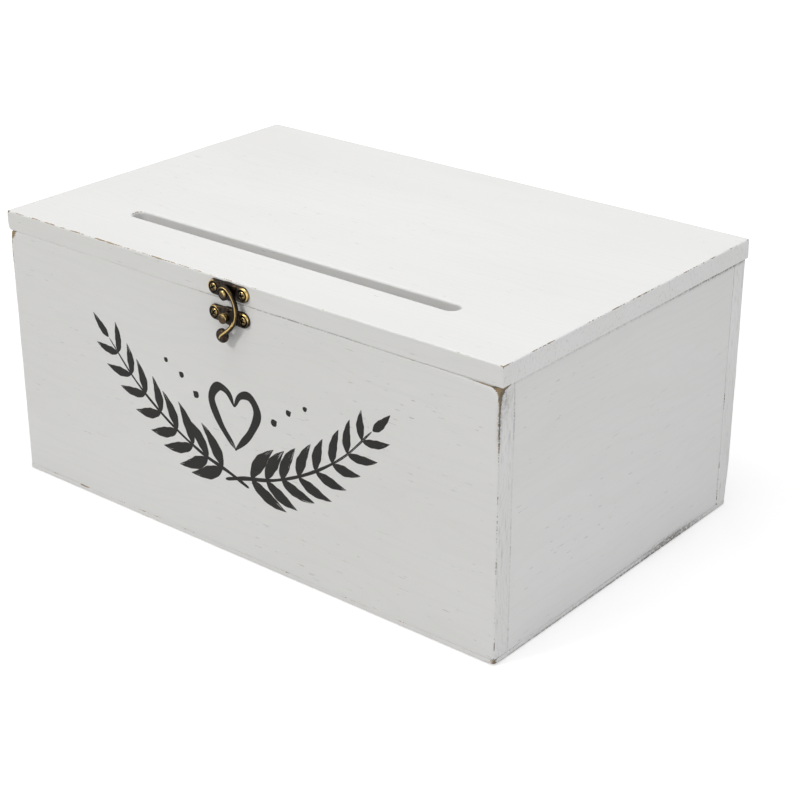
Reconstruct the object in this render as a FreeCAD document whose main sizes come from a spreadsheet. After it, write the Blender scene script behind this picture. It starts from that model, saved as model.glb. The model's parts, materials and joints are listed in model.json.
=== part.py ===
import FreeCAD, Part
import math
import os
import Sketcher

# A hinged wooden card box with a slot in its lid and a swing latch on its front.
# Millimetres. The origin is the middle of the underside, +X right, +Y back, +Z up.

DRIVING_SIZES = [
    # Box and lid
    ("lid_width", 355.6),
    ("lid_depth", 228.6),
    ("overall_height", 165.1),
    ("lid_thickness", 11.5),
    ("lid_gap", 0.3),
    ("side_overhang", 1.6),
    ("board_thickness", 11.5),
    ("bottom_thickness", 3.0),
    ("board_edge_radius", 0.6),
    # Card slot
    ("slot_length", 234.95),
    ("slot_width", 10.0),
    ("slot_setback", 44.0),
    ("slot_edge_radius", 0.5),
    # Brads
    ("brad_diameter", 1.2),
    ("brad_clearance", 0.05),
    ("brad_cover", 1.0),
    ("corner_brad_length", 25.0),
    ("corner_brad_margin", 22.0),
    ("bottom_brad_length", 16.0),
    ("bottom_brad_margin", 34.0),
    # Cross-head wood screws
    ("screw_head_diameter", 4.4),
    ("screw_head_height", 1.1),
    ("screw_crown_diameter", 2.9),
    ("screw_rim_height", 0.35),
    ("screw_shank_diameter", 2.0),
    ("screw_length", 8.0),
    ("screw_tip_length", 2.2),
    ("screw_cross_length", 2.6),
    ("screw_cross_width", 0.6),
    ("screw_cross_depth", 0.5),
    ("screw_clearance", 0.05),
    ("screw_head_clearance", 0.15),
    # Latch and catch plates
    ("plate_length", 28.6),
    ("plate_height", 8.8),
    ("plate_thickness", 1.8),
    ("plate_edge_radius", 0.5),
    ("plate_screw_spacing", 20.6),
    ("ear_recess_diameter", 6.2),
    ("ear_recess_depth", 0.5),
    ("catch_drop", 8.2),
    ("lobe_radius", 5.0),
    # Pivot rivet and stud
    ("pivot_drop", 0.55),
    ("pivot_diameter", 3.0),
    ("pivot_clearance", 0.05),
    ("pivot_head_diameter", 4.8),
    ("pivot_head_height", 1.0),
    ("pivot_head_round", 0.6),
    ("collar_diameter", 6.0),
    ("collar_height", 0.9),
    ("rivet_fit", 0.02),
    ("stud_shank_diameter", 3.0),
    ("stud_base_diameter", 5.8),
    ("stud_base_height", 1.2),
    ("stud_neck_diameter", 4.6),
    ("stud_neck_height", 1.3),
    ("stud_head_diameter", 5.6),
    ("stud_head_height", 2.5),
    ("stud_head_round", 0.6),
    # Swing arm
    ("arm_play", 0.1),
    ("arm_thickness", 2.2),
    ("arm_eye_diameter", 8.4),
    ("arm_eye_round", 0.5),
    ("arm_arc_left", 5.2),
    ("arm_arc_drop", 8.6),
    ("arm_inner_radius", 11.0),
    ("arm_width", 3.4),
    ("arm_rise_angle", 59.0),
    ("arm_fall_angle", 70.0),
    ("knob_diameter", 8.0),
    ("knob_depth", 4.6),
    ("knob_left", 2.6),
    ("knob_drop", 24.4),
    # Butt hinges
    ("hinge_inset", 55.0),
    ("hinge_width", 25.0),
    ("leaf_height", 10.0),
    ("leaf_thickness", 1.2),
    ("leaf_corner_radius", 1.5),
    ("leaf_seat_depth", 0.6),
    ("leaf_screw_spacing", 16.0),
    ("leaf_screw_offset", 6.0),
    ("knuckle_radius", 1.8),
    ("knuckle_wall_gap", 0.3),
    ("knuckle_length", 8.4),
    ("knuckle_gap", 0.2),
    ("knuckle_notch_gap", 0.4),
    ("hinge_pin_diameter", 1.8),
    ("hinge_pin_clearance", 0.05),
    ("hinge_pin_fit", 0.02),
    ("hinge_pin_head_diameter", 2.8),
    ("hinge_pin_head_height", 0.6),
]

# Places that follow from the driving sizes
HALF_DEPTH = "(Dims.lid_depth / 2)"
LID_BOTTOM = "(Dims.overall_height - Dims.lid_thickness)"
WALL_TOP = f"({LID_BOTTOM} - Dims.lid_gap)"
WALL_HEIGHT = f"({WALL_TOP} - Dims.bottom_thickness)"
SEAM = f"({LID_BOTTOM} - Dims.lid_gap / 2)"
HALF_BOX = "(Dims.lid_width / 2 - Dims.side_overhang)"
SIDE_CENTRE = f"({HALF_BOX} - Dims.board_thickness / 2)"
HALF_SIDE_LENGTH = f"({HALF_DEPTH} - Dims.board_thickness)"
SLOT_CENTRE = f"(Dims.slot_setback - {HALF_DEPTH})"
LATCH_HEIGHT = f"({LID_BOTTOM} + Dims.lid_thickness / 2)"
PIVOT_HEIGHT = f"({LATCH_HEIGHT} - Dims.pivot_drop)"
CATCH_HEIGHT = f"({WALL_TOP} - Dims.catch_drop)"
ARM_BACK = "(Dims.plate_thickness + Dims.collar_height + Dims.arm_play)"
ARM_FRONT = f"({ARM_BACK} + Dims.arm_thickness)"
HINGE_OFFSET = "(Dims.knuckle_radius + Dims.knuckle_wall_gap)"
HINGE_PLACE = f"({HALF_BOX} - Dims.hinge_inset)"

BRAD_HOLE = "(Dims.brad_diameter / 2 + Dims.brad_clearance)"
SCREW_HOLE = "(Dims.screw_shank_diameter / 2 + Dims.screw_clearance)"
SCREW_SEAT = "(Dims.screw_head_diameter / 2 + Dims.screw_head_clearance)"

CORNER_BRAD_HEIGHTS = [
    "(Dims.corner_brad_margin)",
    f"({WALL_HEIGHT} / 2)",
    f"({WALL_HEIGHT} - Dims.corner_brad_margin)",
]
LONG_BRAD_PLACES = [
    f"(({HALF_BOX} - Dims.bottom_brad_margin) * {share})" for share in ("-1", "-1/3", "1/3", "1")
]
SIDE_BRAD_PLACES = [f"({HALF_SIDE_LENGTH} * {share})" for share in ("-1/2", "1/2")]

QUARTER_TURN = math.pi / 2

doc = FreeCAD.newDocument("card_box")
dims = doc.addObject("Spreadsheet::Sheet", "Dims")
for row, (alias, size) in enumerate(DRIVING_SIZES, start=1):
    dims.set(f"A{row}", alias)
    dims.set(f"B{row}", str(size))
    dims.setAlias(f"B{row}", alias)
doc.recompute()


def value(expression):
    """The number that an expression over the sheet's sizes gives now."""
    return float(dims.evalExpression(expression))


def body_at(label, x="0", y="0", z="0", turn=0):
    """An empty body at a place bound to the sheet, turned about +Z by so many degrees."""
    body = doc.addObject("PartDesign::Body", label)
    body.Label = label
    body.Placement = FreeCAD.Placement(
        FreeCAD.Vector(), FreeCAD.Rotation(FreeCAD.Vector(0, 0, 1), turn)
    )
    for axis, expression in zip("xyz", (x, y, z)):
        body.setExpression(f"Placement.Base.{axis}", expression)
    return body


def sketch_on(body, role, offset="0", across="0", up="0"):
    """A sketch on one of the body's origin planes, moved along that plane's normal and within it."""
    sketch = body.newObject("Sketcher::SketchObject", "Sketch")
    plane = next(item for item in body.Origin.OriginFeatures if item.Role == role)
    sketch.AttachmentSupport = (plane, [""])
    sketch.MapMode = "FlatFace"
    for axis, expression in zip("xyz", (across, up, offset)):
        sketch.setExpression(f"AttachmentOffset.Base.{axis}", expression)
    return sketch


def bind(sketch, kind, *reference, to):
    """A dimension of the sketch that follows an expression."""
    index = sketch.addConstraint(Sketcher.Constraint(kind, *reference, value(to)))
    sketch.setExpression(f"Constraints[{index}]", to)


def bind_point(sketch, geometry, point, place):
    """Hold one point of a sketch at a place measured from the sketch's origin."""
    for kind, expression in zip(("DistanceX", "DistanceY"), place):
        bind(sketch, kind, -1, 1, geometry, point, to=expression)


def polygon(sketch, places):
    """A closed outline of straight lines through places given as pairs of expressions."""
    corners = [FreeCAD.Vector(value(x), value(y), 0) for x, y in places]
    count = len(corners)
    first = sketch.GeometryCount
    for index in range(count):
        line = Part.LineSegment(corners[index], corners[(index + 1) % count])
        sketch.addGeometry(line, False)
    for index in range(count):
        following = first + (index + 1) % count
        sketch.addConstraint(Sketcher.Constraint("Coincident", first + index, 2, following, 1))
    for index, place in enumerate(places):
        bind_point(sketch, first + index, 1, place)
    return sketch


def rectangle(sketch, left, right, low, high):
    """A rectangle between two places across and two places up."""
    return polygon(sketch, [(left, low), (right, low), (right, high), (left, high)])


def circles(sketch, places, radius):
    """Equal circles at places given as pairs of expressions."""
    for x, y in places:
        centre = FreeCAD.Vector(value(x), value(y), 0)
        shape = Part.Circle(centre, FreeCAD.Vector(0, 0, 1), value(radius))
        index = sketch.addGeometry(shape, False)
        bind_point(sketch, index, 3, (x, y))
        bind(sketch, "Radius", index, to=radius)
    return sketch


def stadium(sketch, x, y, length, width):
    """A level slot outline: two straight sides with half-round ends."""
    reach = f"(({length} - {width}) / 2)"
    radius = f"({width} / 2)"
    right = FreeCAD.Vector(value(f"{x} + {reach}"), value(y), 0)
    left = FreeCAD.Vector(value(f"{x} - {reach}"), value(y), 0)
    up = FreeCAD.Vector(0, value(radius), 0)
    normal = FreeCAD.Vector(0, 0, 1)
    sketch.addGeometry(Part.LineSegment(left - up, right - up), False)
    right_end = Part.Circle(right, normal, up.y)
    left_end = Part.Circle(left, normal, up.y)
    sketch.addGeometry(Part.ArcOfCircle(right_end, -QUARTER_TURN, QUARTER_TURN), False)
    sketch.addGeometry(Part.LineSegment(right + up, left + up), False)
    sketch.addGeometry(Part.ArcOfCircle(left_end, QUARTER_TURN, 3 * QUARTER_TURN), False)
    for index in range(4):
        following = (index + 1) % 4
        sketch.addConstraint(Sketcher.Constraint("Tangent", index, 2, following, 1))
    sketch.addConstraint(Sketcher.Constraint("Equal", 1, 3))
    bind(sketch, "Radius", 1, to=radius)
    bind_point(sketch, 1, 3, (f"{x} + {reach}", y))
    bind(sketch, "DistanceX", -1, 1, 3, 3, to=f"{x} - {reach}")
    return sketch


def half_disc(sketch, diameter, depth):
    """Half the section of a disc with a half-round rim, beside the sketch's upright axis."""
    rim = f"({depth} / 2)"
    reach = f"({diameter} / 2 - {rim})"
    round_centre = FreeCAD.Vector(value(reach), 0, 0)
    up = FreeCAD.Vector(0, value(rim), 0)
    rim_circle = Part.Circle(round_centre, FreeCAD.Vector(0, 0, 1), up.y)
    sketch.addGeometry(Part.LineSegment(-up, round_centre - up), False)
    sketch.addGeometry(Part.ArcOfCircle(rim_circle, -QUARTER_TURN, QUARTER_TURN), False)
    sketch.addGeometry(Part.LineSegment(round_centre + up, up), False)
    sketch.addGeometry(Part.LineSegment(up, -up), False)
    for index, kind in enumerate(("Tangent", "Tangent", "Coincident", "Coincident")):
        sketch.addConstraint(Sketcher.Constraint(kind, index, 2, (index + 1) % 4, 1))
    for index in (0, 2):
        sketch.addConstraint(Sketcher.Constraint("Horizontal", index))
    sketch.addConstraint(Sketcher.Constraint("PointOnObject", 3, 1, -2))
    sketch.addConstraint(Sketcher.Constraint("PointOnObject", 3, 2, -2))
    bind_point(sketch, 1, 3, (reach, "0"))
    bind(sketch, "Radius", 1, to=rim)
    return sketch


def pad(body, sketch, length, reverse=False, side="One side"):
    """Material of a given length on a sketch."""
    feature = body.newObject("PartDesign::Pad", "Pad")
    feature.Profile = sketch
    feature.SideType = side
    feature.Reversed = reverse
    feature.setExpression("Length", length)
    return feature


def pocket(body, sketch, depth=None, reverse=False):
    """A cut of a given depth on a sketch, or right through without one."""
    feature = body.newObject("PartDesign::Pocket", "Pocket")
    feature.Profile = sketch
    feature.Reversed = reverse
    if depth is None:
        feature.Type = "ThroughAll"
    else:
        feature.setExpression("Length", depth)
    return feature


def revolve(body, sketch):
    """A full turn of a sketch about its own upright axis."""
    feature = body.newObject("PartDesign::Revolution", "Revolution")
    feature.Profile = sketch
    feature.ReferenceAxis = (sketch, ["V_Axis"])
    feature.Angle = 360
    return feature


def ease(body, feature, radius, wanted=None):
    """Round a feature's edges: all of them, or those whose bounding box is wanted."""
    doc.recompute()
    fillet = body.newObject("PartDesign::Fillet", "Fillet")
    if wanted is None:
        fillet.Base = (feature, [""])
        fillet.UseAllEdges = True
    else:
        edges = feature.Shape.Edges
        names = [f"Edge{n}" for n, edge in enumerate(edges, start=1) if wanted(edge.BoundBox)]
        fillet.Base = (feature, names)
    fillet.setExpression("Radius", radius)
    return fillet


def at_level(low, high, level):
    """Whether a flat span lies at one level."""
    touch = 1e-4
    return abs(low - level) < touch and abs(high - level) < touch


def front_edges(distance):
    """A test for edges in the plane that stands a distance out from a body's origin, to -Y."""
    level = -value(distance)
    return lambda box: at_level(box.YMin, box.YMax, level)


def group(label, members):
    """One node that holds separate equal pieces."""
    compound = doc.addObject("Part::Compound", label)
    compound.Label = label
    compound.Links = members
    return compound


# Boards

def wall_board(label, x, y, left, right, front, back):
    """An upright wall board with eased edges, standing on the bottom sheet."""
    body = body_at(label, x, y, "Dims.bottom_thickness")
    outline = rectangle(sketch_on(body, "XY_Plane"), left, right, front, back)
    ease(body, pad(body, outline, WALL_HEIGHT), "Dims.board_edge_radius")
    return body


def drill_bottom_holes(body, places):
    """Blind holes up into a board's lower edge for the bottom brads."""
    sketch = circles(sketch_on(body, "XY_Plane"), places, BRAD_HOLE)
    pocket(body, sketch, "Dims.bottom_brad_length - Dims.bottom_thickness", reverse=True)


def corner_brad_holes(body, offset, across, depth, reverse):
    """Blind holes for the corner brads, drilled from an upright face of a board."""
    places = [(x, height) for x in across for height in CORNER_BRAD_HEIGHTS]
    sketch = circles(sketch_on(body, "XZ_Plane", offset), places, BRAD_HOLE)
    pocket(body, sketch, depth, reverse)


def mirrored(place):
    """A place and its opposite, left first."""
    return [f"(-{place})", place]


def make_front_panel():
    """The front board, with pilot holes for the catch plate's screws."""
    body = wall_board(
        "front_panel", "0", f"-{HALF_DEPTH}", f"-{HALF_BOX}", HALF_BOX, "0", "Dims.board_thickness"
    )
    corner_brad_holes(
        body, "-Dims.board_thickness", mirrored(SIDE_CENTRE),
        "Dims.board_thickness - Dims.brad_cover", reverse=True,
    )
    drill_bottom_holes(body, [(x, "Dims.board_thickness / 2") for x in LONG_BRAD_PLACES])
    height = f"{CATCH_HEIGHT} - Dims.bottom_thickness"
    places = [(x, height) for x in mirrored("(Dims.plate_screw_spacing / 2)")]
    pilot = circles(sketch_on(body, "XZ_Plane"), places, SCREW_HOLE)
    seat = "Dims.plate_thickness - Dims.ear_recess_depth"
    pocket(body, pilot, f"Dims.screw_length - ({seat})")
    return body


def make_back_panel():
    """The back board, with pilot holes for the screws of both hinges."""
    body = wall_board(
        "back_panel", "0", HALF_DEPTH, f"-{HALF_BOX}", HALF_BOX, "-Dims.board_thickness", "0"
    )
    corner_brad_holes(
        body, "Dims.board_thickness", mirrored(SIDE_CENTRE),
        "Dims.board_thickness - Dims.brad_cover", reverse=False,
    )
    drill_bottom_holes(body, [(x, "-Dims.board_thickness / 2") for x in LONG_BRAD_PLACES])
    height = f"{SEAM} - Dims.leaf_screw_offset - Dims.bottom_thickness"
    drill_hinge_pilots(body, "0", height)
    return body


def drill_hinge_pilots(body, offset, height):
    """Pilot holes into a board's back face for one row of hinge screws."""
    places = [
        (f"{hinge} + {x}", height)
        for hinge in mirrored(HINGE_PLACE)
        for x in mirrored("(Dims.leaf_screw_spacing / 2)")
    ]
    sketch = circles(sketch_on(body, "XZ_Plane", offset), places, SCREW_HOLE)
    seat = "Dims.leaf_thickness - Dims.leaf_seat_depth"
    pocket(body, sketch, f"Dims.screw_length - ({seat})", reverse=True)


def make_side_panel(label, x):
    """A side board, held at both ends by the corner brads."""
    half = "Dims.board_thickness / 2"
    body = wall_board(label, x, "0", f"-{half}", half, f"-{HALF_SIDE_LENGTH}", HALF_SIDE_LENGTH)
    depth = "Dims.corner_brad_length - (Dims.board_thickness - Dims.brad_cover)"
    corner_brad_holes(body, HALF_SIDE_LENGTH, ["0"], depth, reverse=False)
    corner_brad_holes(body, f"-{HALF_SIDE_LENGTH}", ["0"], depth, reverse=True)
    drill_bottom_holes(body, [("0", y) for y in SIDE_BRAD_PLACES])
    return body


BOTTOM_BRAD_PLACES = (
    [(x, f"({HALF_DEPTH} - Dims.board_thickness / 2) * {side}")
     for side in ("-1", "1") for x in LONG_BRAD_PLACES]
    + [(x, y) for x in mirrored(SIDE_CENTRE) for y in SIDE_BRAD_PLACES]
)


def make_bottom_panel():
    """The thin bottom sheet under the walls."""
    body = body_at("bottom_panel")
    outline = rectangle(
        sketch_on(body, "XY_Plane"), f"-{HALF_BOX}", HALF_BOX, f"-{HALF_DEPTH}", HALF_DEPTH
    )
    ease(body, pad(body, outline, "Dims.bottom_thickness"), "Dims.board_edge_radius")
    holes = circles(sketch_on(body, "XY_Plane"), BOTTOM_BRAD_PLACES, BRAD_HOLE)
    pocket(body, holes, reverse=True)
    return body


def make_lid_panel():
    """The lid board with its card slot and the pilot holes of latch and hinges."""
    body = body_at("lid_panel", z=LID_BOTTOM)
    outline = rectangle(
        sketch_on(body, "XY_Plane"),
        "-Dims.lid_width / 2", "Dims.lid_width / 2", f"-{HALF_DEPTH}", HALF_DEPTH,
    )
    ease(body, pad(body, outline, "Dims.lid_thickness"), "Dims.board_edge_radius")
    slot = stadium(
        sketch_on(body, "XY_Plane"), "0", SLOT_CENTRE, "Dims.slot_length", "Dims.slot_width"
    )
    cut = pocket(body, slot, reverse=True)
    margin = 0.01
    reach = value("Dims.slot_length / 2") + margin
    front = value(f"{SLOT_CENTRE} - Dims.slot_width / 2") - margin
    back = value(f"{SLOT_CENTRE} + Dims.slot_width / 2") + margin
    top = value("Dims.lid_thickness")

    def slot_rim(box):
        level = at_level(box.ZMin, box.ZMax, top) or at_level(box.ZMin, box.ZMax, 0)
        inside = box.YMin > front and box.YMax < back and -reach < box.XMin and box.XMax < reach
        return level and inside

    ease(body, cut, "Dims.slot_edge_radius", slot_rim)
    height = f"{LATCH_HEIGHT} - {LID_BOTTOM}"
    places = [(x, height) for x in mirrored("(Dims.plate_screw_spacing / 2)")]
    pilot = circles(sketch_on(body, "XZ_Plane", HALF_DEPTH), places, SCREW_HOLE)
    seat = "Dims.plate_thickness - Dims.ear_recess_depth"
    pocket(body, pilot, f"Dims.screw_length - ({seat})")
    drill_hinge_pilots(
        body, f"-{HALF_DEPTH}", f"{SEAM} + Dims.leaf_screw_offset - {LID_BOTTOM}"
    )
    return body


# Brads and screws

def brad(name, length, x, y, z, turn=0):
    """One headless brad: a plain pin that rises along +Z, or runs along -Y when turned."""
    pin = doc.addObject("Part::Cylinder", name)
    pin.setExpression("Radius", "Dims.brad_diameter / 2")
    pin.setExpression("Height", length)
    pin.Placement = FreeCAD.Placement(
        FreeCAD.Vector(), FreeCAD.Rotation(FreeCAD.Vector(1, 0, 0), turn)
    )
    for axis, expression in zip("xyz", (x, y, z)):
        pin.setExpression(f"Placement.Base.{axis}", expression)
    return pin


def make_corner_brads(label, start):
    """The brads at both ends of the front or back board, which run along -Y from their start."""
    pins = [
        brad(label + "_pin", "Dims.corner_brad_length", x, start,
             f"Dims.bottom_thickness + {height}", turn=90)
        for x in mirrored(SIDE_CENTRE)
        for height in CORNER_BRAD_HEIGHTS
    ]
    return group(label, pins)


def make_bottom_brads():
    """The brads that hold the bottom sheet, flush with its underside."""
    pins = [brad("bottom_pin", "Dims.bottom_brad_length", x, y, "0") for x, y in BOTTOM_BRAD_PLACES]
    return group("bottom_brads", pins)


def screw(name, x, y, z, turn=0):
    """A cross-head wood screw that points to +Y, its head's bearing face at the given place."""
    body = body_at(name, x, y, z, turn)
    head = "Dims.screw_head_diameter / 2"
    shank = "Dims.screw_shank_diameter / 2"
    profile = [
        ("0", "-Dims.screw_head_height"),
        ("Dims.screw_crown_diameter / 2", "-Dims.screw_head_height"),
        (head, "-Dims.screw_rim_height"),
        (head, "0"),
        (shank, "0"),
        (shank, "Dims.screw_length - Dims.screw_tip_length"),
        ("0", "Dims.screw_length"),
    ]
    outline = polygon(sketch_on(body, "XY_Plane"), profile)
    revolve(body, outline)
    half_long = "Dims.screw_cross_length / 2"
    half_wide = "Dims.screw_cross_width / 2"
    for across, up in ((half_long, half_wide), (half_wide, half_long)):
        slit = rectangle(
            sketch_on(body, "XZ_Plane", "Dims.screw_head_height"),
            f"-{across}", across, f"-{up}", up,
        )
        pocket(body, slit, "Dims.screw_cross_depth")
    return body


def make_plate_screws(label, height):
    """The two screws of a latch plate, seated in its ears."""
    seat = f"-{HALF_DEPTH} - Dims.plate_thickness + Dims.ear_recess_depth"
    places = mirrored("(Dims.plate_screw_spacing / 2)")
    return group(label, [screw(f"{label}_one", x, seat, height) for x in places])


# Latch

def latch_base_plate(label, height, lobe_place):
    """A long round-ended plate with a round lobe, dished ears and screw holes."""
    body = body_at(label, "0", f"-{HALF_DEPTH}", height)
    outline = stadium(
        sketch_on(body, "XZ_Plane"), "0", "0", "Dims.plate_length", "Dims.plate_height"
    )
    pad(body, outline, "Dims.plate_thickness")
    lobe = circles(sketch_on(body, "XZ_Plane"), [("0", lobe_place)], "Dims.lobe_radius")
    lobed = pad(body, lobe, "Dims.plate_thickness")
    ease(body, lobed, "Dims.plate_edge_radius", front_edges("Dims.plate_thickness"))
    ears = [(x, "0") for x in mirrored("(Dims.plate_screw_spacing / 2)")]
    dish = circles(
        sketch_on(body, "XZ_Plane", "Dims.plate_thickness"), ears, "Dims.ear_recess_diameter / 2"
    )
    pocket(body, dish, "Dims.ear_recess_depth")
    holes = circles(sketch_on(body, "XZ_Plane"), ears, SCREW_HOLE)
    pocket(body, holes, reverse=True)
    return body


def make_latch_plate():
    """The upper plate, with a raised collar that carries the swing arm."""
    body = latch_base_plate("latch_plate", LATCH_HEIGHT, "-Dims.pivot_drop")
    pivot = [("0", "-Dims.pivot_drop")]
    collar = circles(sketch_on(body, "XZ_Plane"), pivot, "Dims.collar_diameter / 2")
    pad(body, collar, "Dims.plate_thickness + Dims.collar_height")
    hole = circles(sketch_on(body, "XZ_Plane"), pivot, "Dims.pivot_diameter / 2 + Dims.rivet_fit")
    pocket(body, hole, reverse=True)
    return body


def make_catch_plate():
    """The lower plate, with a hole for the stud's riveted shank."""
    body = latch_base_plate("catch_plate", CATCH_HEIGHT, "0")
    hole = circles(
        sketch_on(body, "XZ_Plane"), [("0", "0")], "Dims.stud_shank_diameter / 2 + Dims.rivet_fit"
    )
    pocket(body, hole, reverse=True)
    return body


def turned_piece(body, steps):
    """Round steps along -Y, each a radius and a length, from the body's origin outwards."""
    start = "0"
    for radius, length in steps:
        last = pad(body, circles(sketch_on(body, "XZ_Plane", start), [("0", "0")], radius), length)
        start = f"({start} + {length})"
    return last, start


def make_latch_rivet():
    """The pivot: a shank through plate, collar and arm, with a domed head."""
    body = body_at("latch_rivet", "0", f"-{HALF_DEPTH}", PIVOT_HEIGHT)
    head, front = turned_piece(body, [
        ("Dims.pivot_diameter / 2", f"({ARM_FRONT} + Dims.arm_play)"),
        ("Dims.pivot_head_diameter / 2", "Dims.pivot_head_height"),
    ])
    ease(body, head, "Dims.pivot_head_round", front_edges(front))
    return body


def make_catch_stud():
    """The stud that the hook goes round: base, neck and rounded head."""
    body = body_at("catch_stud", "0", f"-{HALF_DEPTH}", CATCH_HEIGHT)
    head, front = turned_piece(body, [
        ("Dims.stud_shank_diameter / 2", "Dims.plate_thickness"),
        ("Dims.stud_base_diameter / 2", "Dims.stud_base_height"),
        ("Dims.stud_neck_diameter / 2", "Dims.stud_neck_height"),
        ("Dims.stud_head_diameter / 2", "Dims.stud_head_height"),
    ])
    ease(body, head, "Dims.stud_head_round", front_edges(front))
    return body


def make_latch_arm():
    """The swing arm: an eye on the rivet, a rounded bar bent to an arc and a flattened knob.

    The body's origin is the centre of that arc, at the arm's back face.
    """
    body = body_at(
        "latch_arm", "-Dims.arm_arc_left", f"-{HALF_DEPTH} - {ARM_BACK}",
        f"{PIVOT_HEIGHT} - Dims.arm_arc_drop",
    )
    pivot = [("Dims.arm_arc_left", "Dims.arm_arc_drop")]
    eye = pad(
        body, circles(sketch_on(body, "XZ_Plane"), pivot, "Dims.arm_eye_diameter / 2"),
        "Dims.arm_thickness",
    )
    front = front_edges("Dims.arm_thickness")
    back = front_edges("0")
    ease(body, eye, "Dims.arm_eye_round", lambda box: front(box) or back(box))
    section = stadium(
        sketch_on(body, "XY_Plane"), "(Dims.arm_inner_radius + Dims.arm_width / 2)",
        "-Dims.arm_thickness / 2", "Dims.arm_width", "Dims.arm_thickness",
    )
    bow = revolve(body, section)
    bow.Type = "TwoAngles"
    bow.setExpression("Angle", "Dims.arm_fall_angle")
    bow.setExpression("Angle2", "Dims.arm_rise_angle")
    knob_section = half_disc(
        sketch_on(
            body, "XY_Plane", "Dims.arm_arc_drop - Dims.knob_drop",
            "Dims.arm_arc_left - Dims.knob_left", "-Dims.arm_thickness / 2",
        ),
        "Dims.knob_diameter", "Dims.knob_depth",
    )
    revolve(body, knob_section)
    hole = circles(
        sketch_on(body, "XZ_Plane"), pivot, "Dims.pivot_diameter / 2 + Dims.pivot_clearance"
    )
    pocket(body, hole, reverse=True)
    return body


# Hinges

def hinge_leaf(label, x, low, high, far, notches, bore):
    """A hinge leaf: a flat plate on the back face with knuckles round the pin's axis.

    The body's origin is the middle of the pin. The notches make room for the other leaf's knuckles.
    """
    body = body_at(label, x, f"{HALF_DEPTH} + {HINGE_OFFSET}", SEAM)
    half_width = "Dims.hinge_width / 2"
    plate = pad(
        body,
        rectangle(sketch_on(body, "XZ_Plane", HINGE_OFFSET), f"-{half_width}", half_width, low, high),
        "Dims.leaf_thickness", reverse=True,
    )
    far_level = value(far)
    ease(
        body, plate, "Dims.leaf_corner_radius",
        lambda box: at_level(box.ZMin, box.ZMax, far_level) and box.XLength < box.YLength,
    )
    barrel = circles(sketch_on(body, "YZ_Plane"), [("0", "0")], "Dims.knuckle_radius")
    pad(body, barrel, "Dims.hinge_width", side="Symmetric")
    for notch in notches:
        pocket(body, rectangle(sketch_on(body, "XZ_Plane", HINGE_OFFSET), *notch))
    pin_hole = circles(
        sketch_on(body, "YZ_Plane", f"-{half_width}"), [("0", "0")],
        f"Dims.hinge_pin_diameter / 2 + {bore}",
    )
    pocket(body, pin_hole, reverse=True)
    row = f"Dims.leaf_screw_offset * {-1 if far_level < 0 else 1}"
    places = [(place, row) for place in mirrored("(Dims.leaf_screw_spacing / 2)")]
    pocket(body, circles(sketch_on(body, "XZ_Plane", HINGE_OFFSET), places, SCREW_HOLE))
    outer_face = f"{HINGE_OFFSET} - Dims.leaf_thickness"
    seats = circles(sketch_on(body, "XZ_Plane", outer_face), places, SCREW_SEAT)
    pocket(body, seats, "Dims.leaf_seat_depth", reverse=True)
    return body


def hinge_pin(label, x):
    """The hinge pin with a peened head at each end."""
    body = body_at(label, x, f"{HALF_DEPTH} + {HINGE_OFFSET}", SEAM)
    rod = circles(sketch_on(body, "YZ_Plane"), [("0", "0")], "Dims.hinge_pin_diameter / 2")
    pad(body, rod, "Dims.hinge_width", side="Symmetric")
    for end, reverse in (("-Dims.hinge_width / 2", True), ("Dims.hinge_width / 2", False)):
        head = circles(
            sketch_on(body, "YZ_Plane", end), [("0", "0")], "Dims.hinge_pin_head_diameter / 2"
        )
        pad(body, head, "Dims.hinge_pin_head_height", reverse)
    return body


def make_hinge(side, x):
    """All pieces of one butt hinge: two leaves, the pin and two pairs of screws."""
    half_width = "Dims.hinge_width / 2"
    beyond = "(Dims.knuckle_radius * 2)"
    room = "(Dims.knuckle_radius + Dims.knuckle_notch_gap)"
    inner = "(Dims.knuckle_length / 2)"
    outer = f"({inner} + Dims.knuckle_gap)"
    centre_notch = (f"-{outer}", outer, f"-{room}", beyond)
    end_notches = [
        (f"-{half_width} - {beyond}", f"-{inner}", f"-{beyond}", room),
        (inner, f"{half_width} + {beyond}", f"-{beyond}", room),
    ]
    pieces = [
        hinge_leaf(
            f"{side}_hinge_box_leaf", x, "-Dims.leaf_height", "0", "-Dims.leaf_height",
            [centre_notch], "Dims.hinge_pin_fit",
        ),
        hinge_leaf(
            f"{side}_hinge_lid_leaf", x, "0", "Dims.leaf_height", "Dims.leaf_height",
            end_notches, "Dims.hinge_pin_clearance",
        ),
        hinge_pin(f"{side}_hinge_pin", x),
    ]
    seat = f"{HALF_DEPTH} + Dims.leaf_thickness - Dims.leaf_seat_depth"
    for name, sign in (("box", "-"), ("lid", "+")):
        label = f"{side}_hinge_{name}_screws"
        height = f"{SEAM} {sign} Dims.leaf_screw_offset"
        screws = [
            screw(f"{label}_one", f"{x} + {place}", seat, height, turn=180)
            for place in mirrored("(Dims.leaf_screw_spacing / 2)")
        ]
        pieces.append(group(label, screws))
    return pieces


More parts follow.
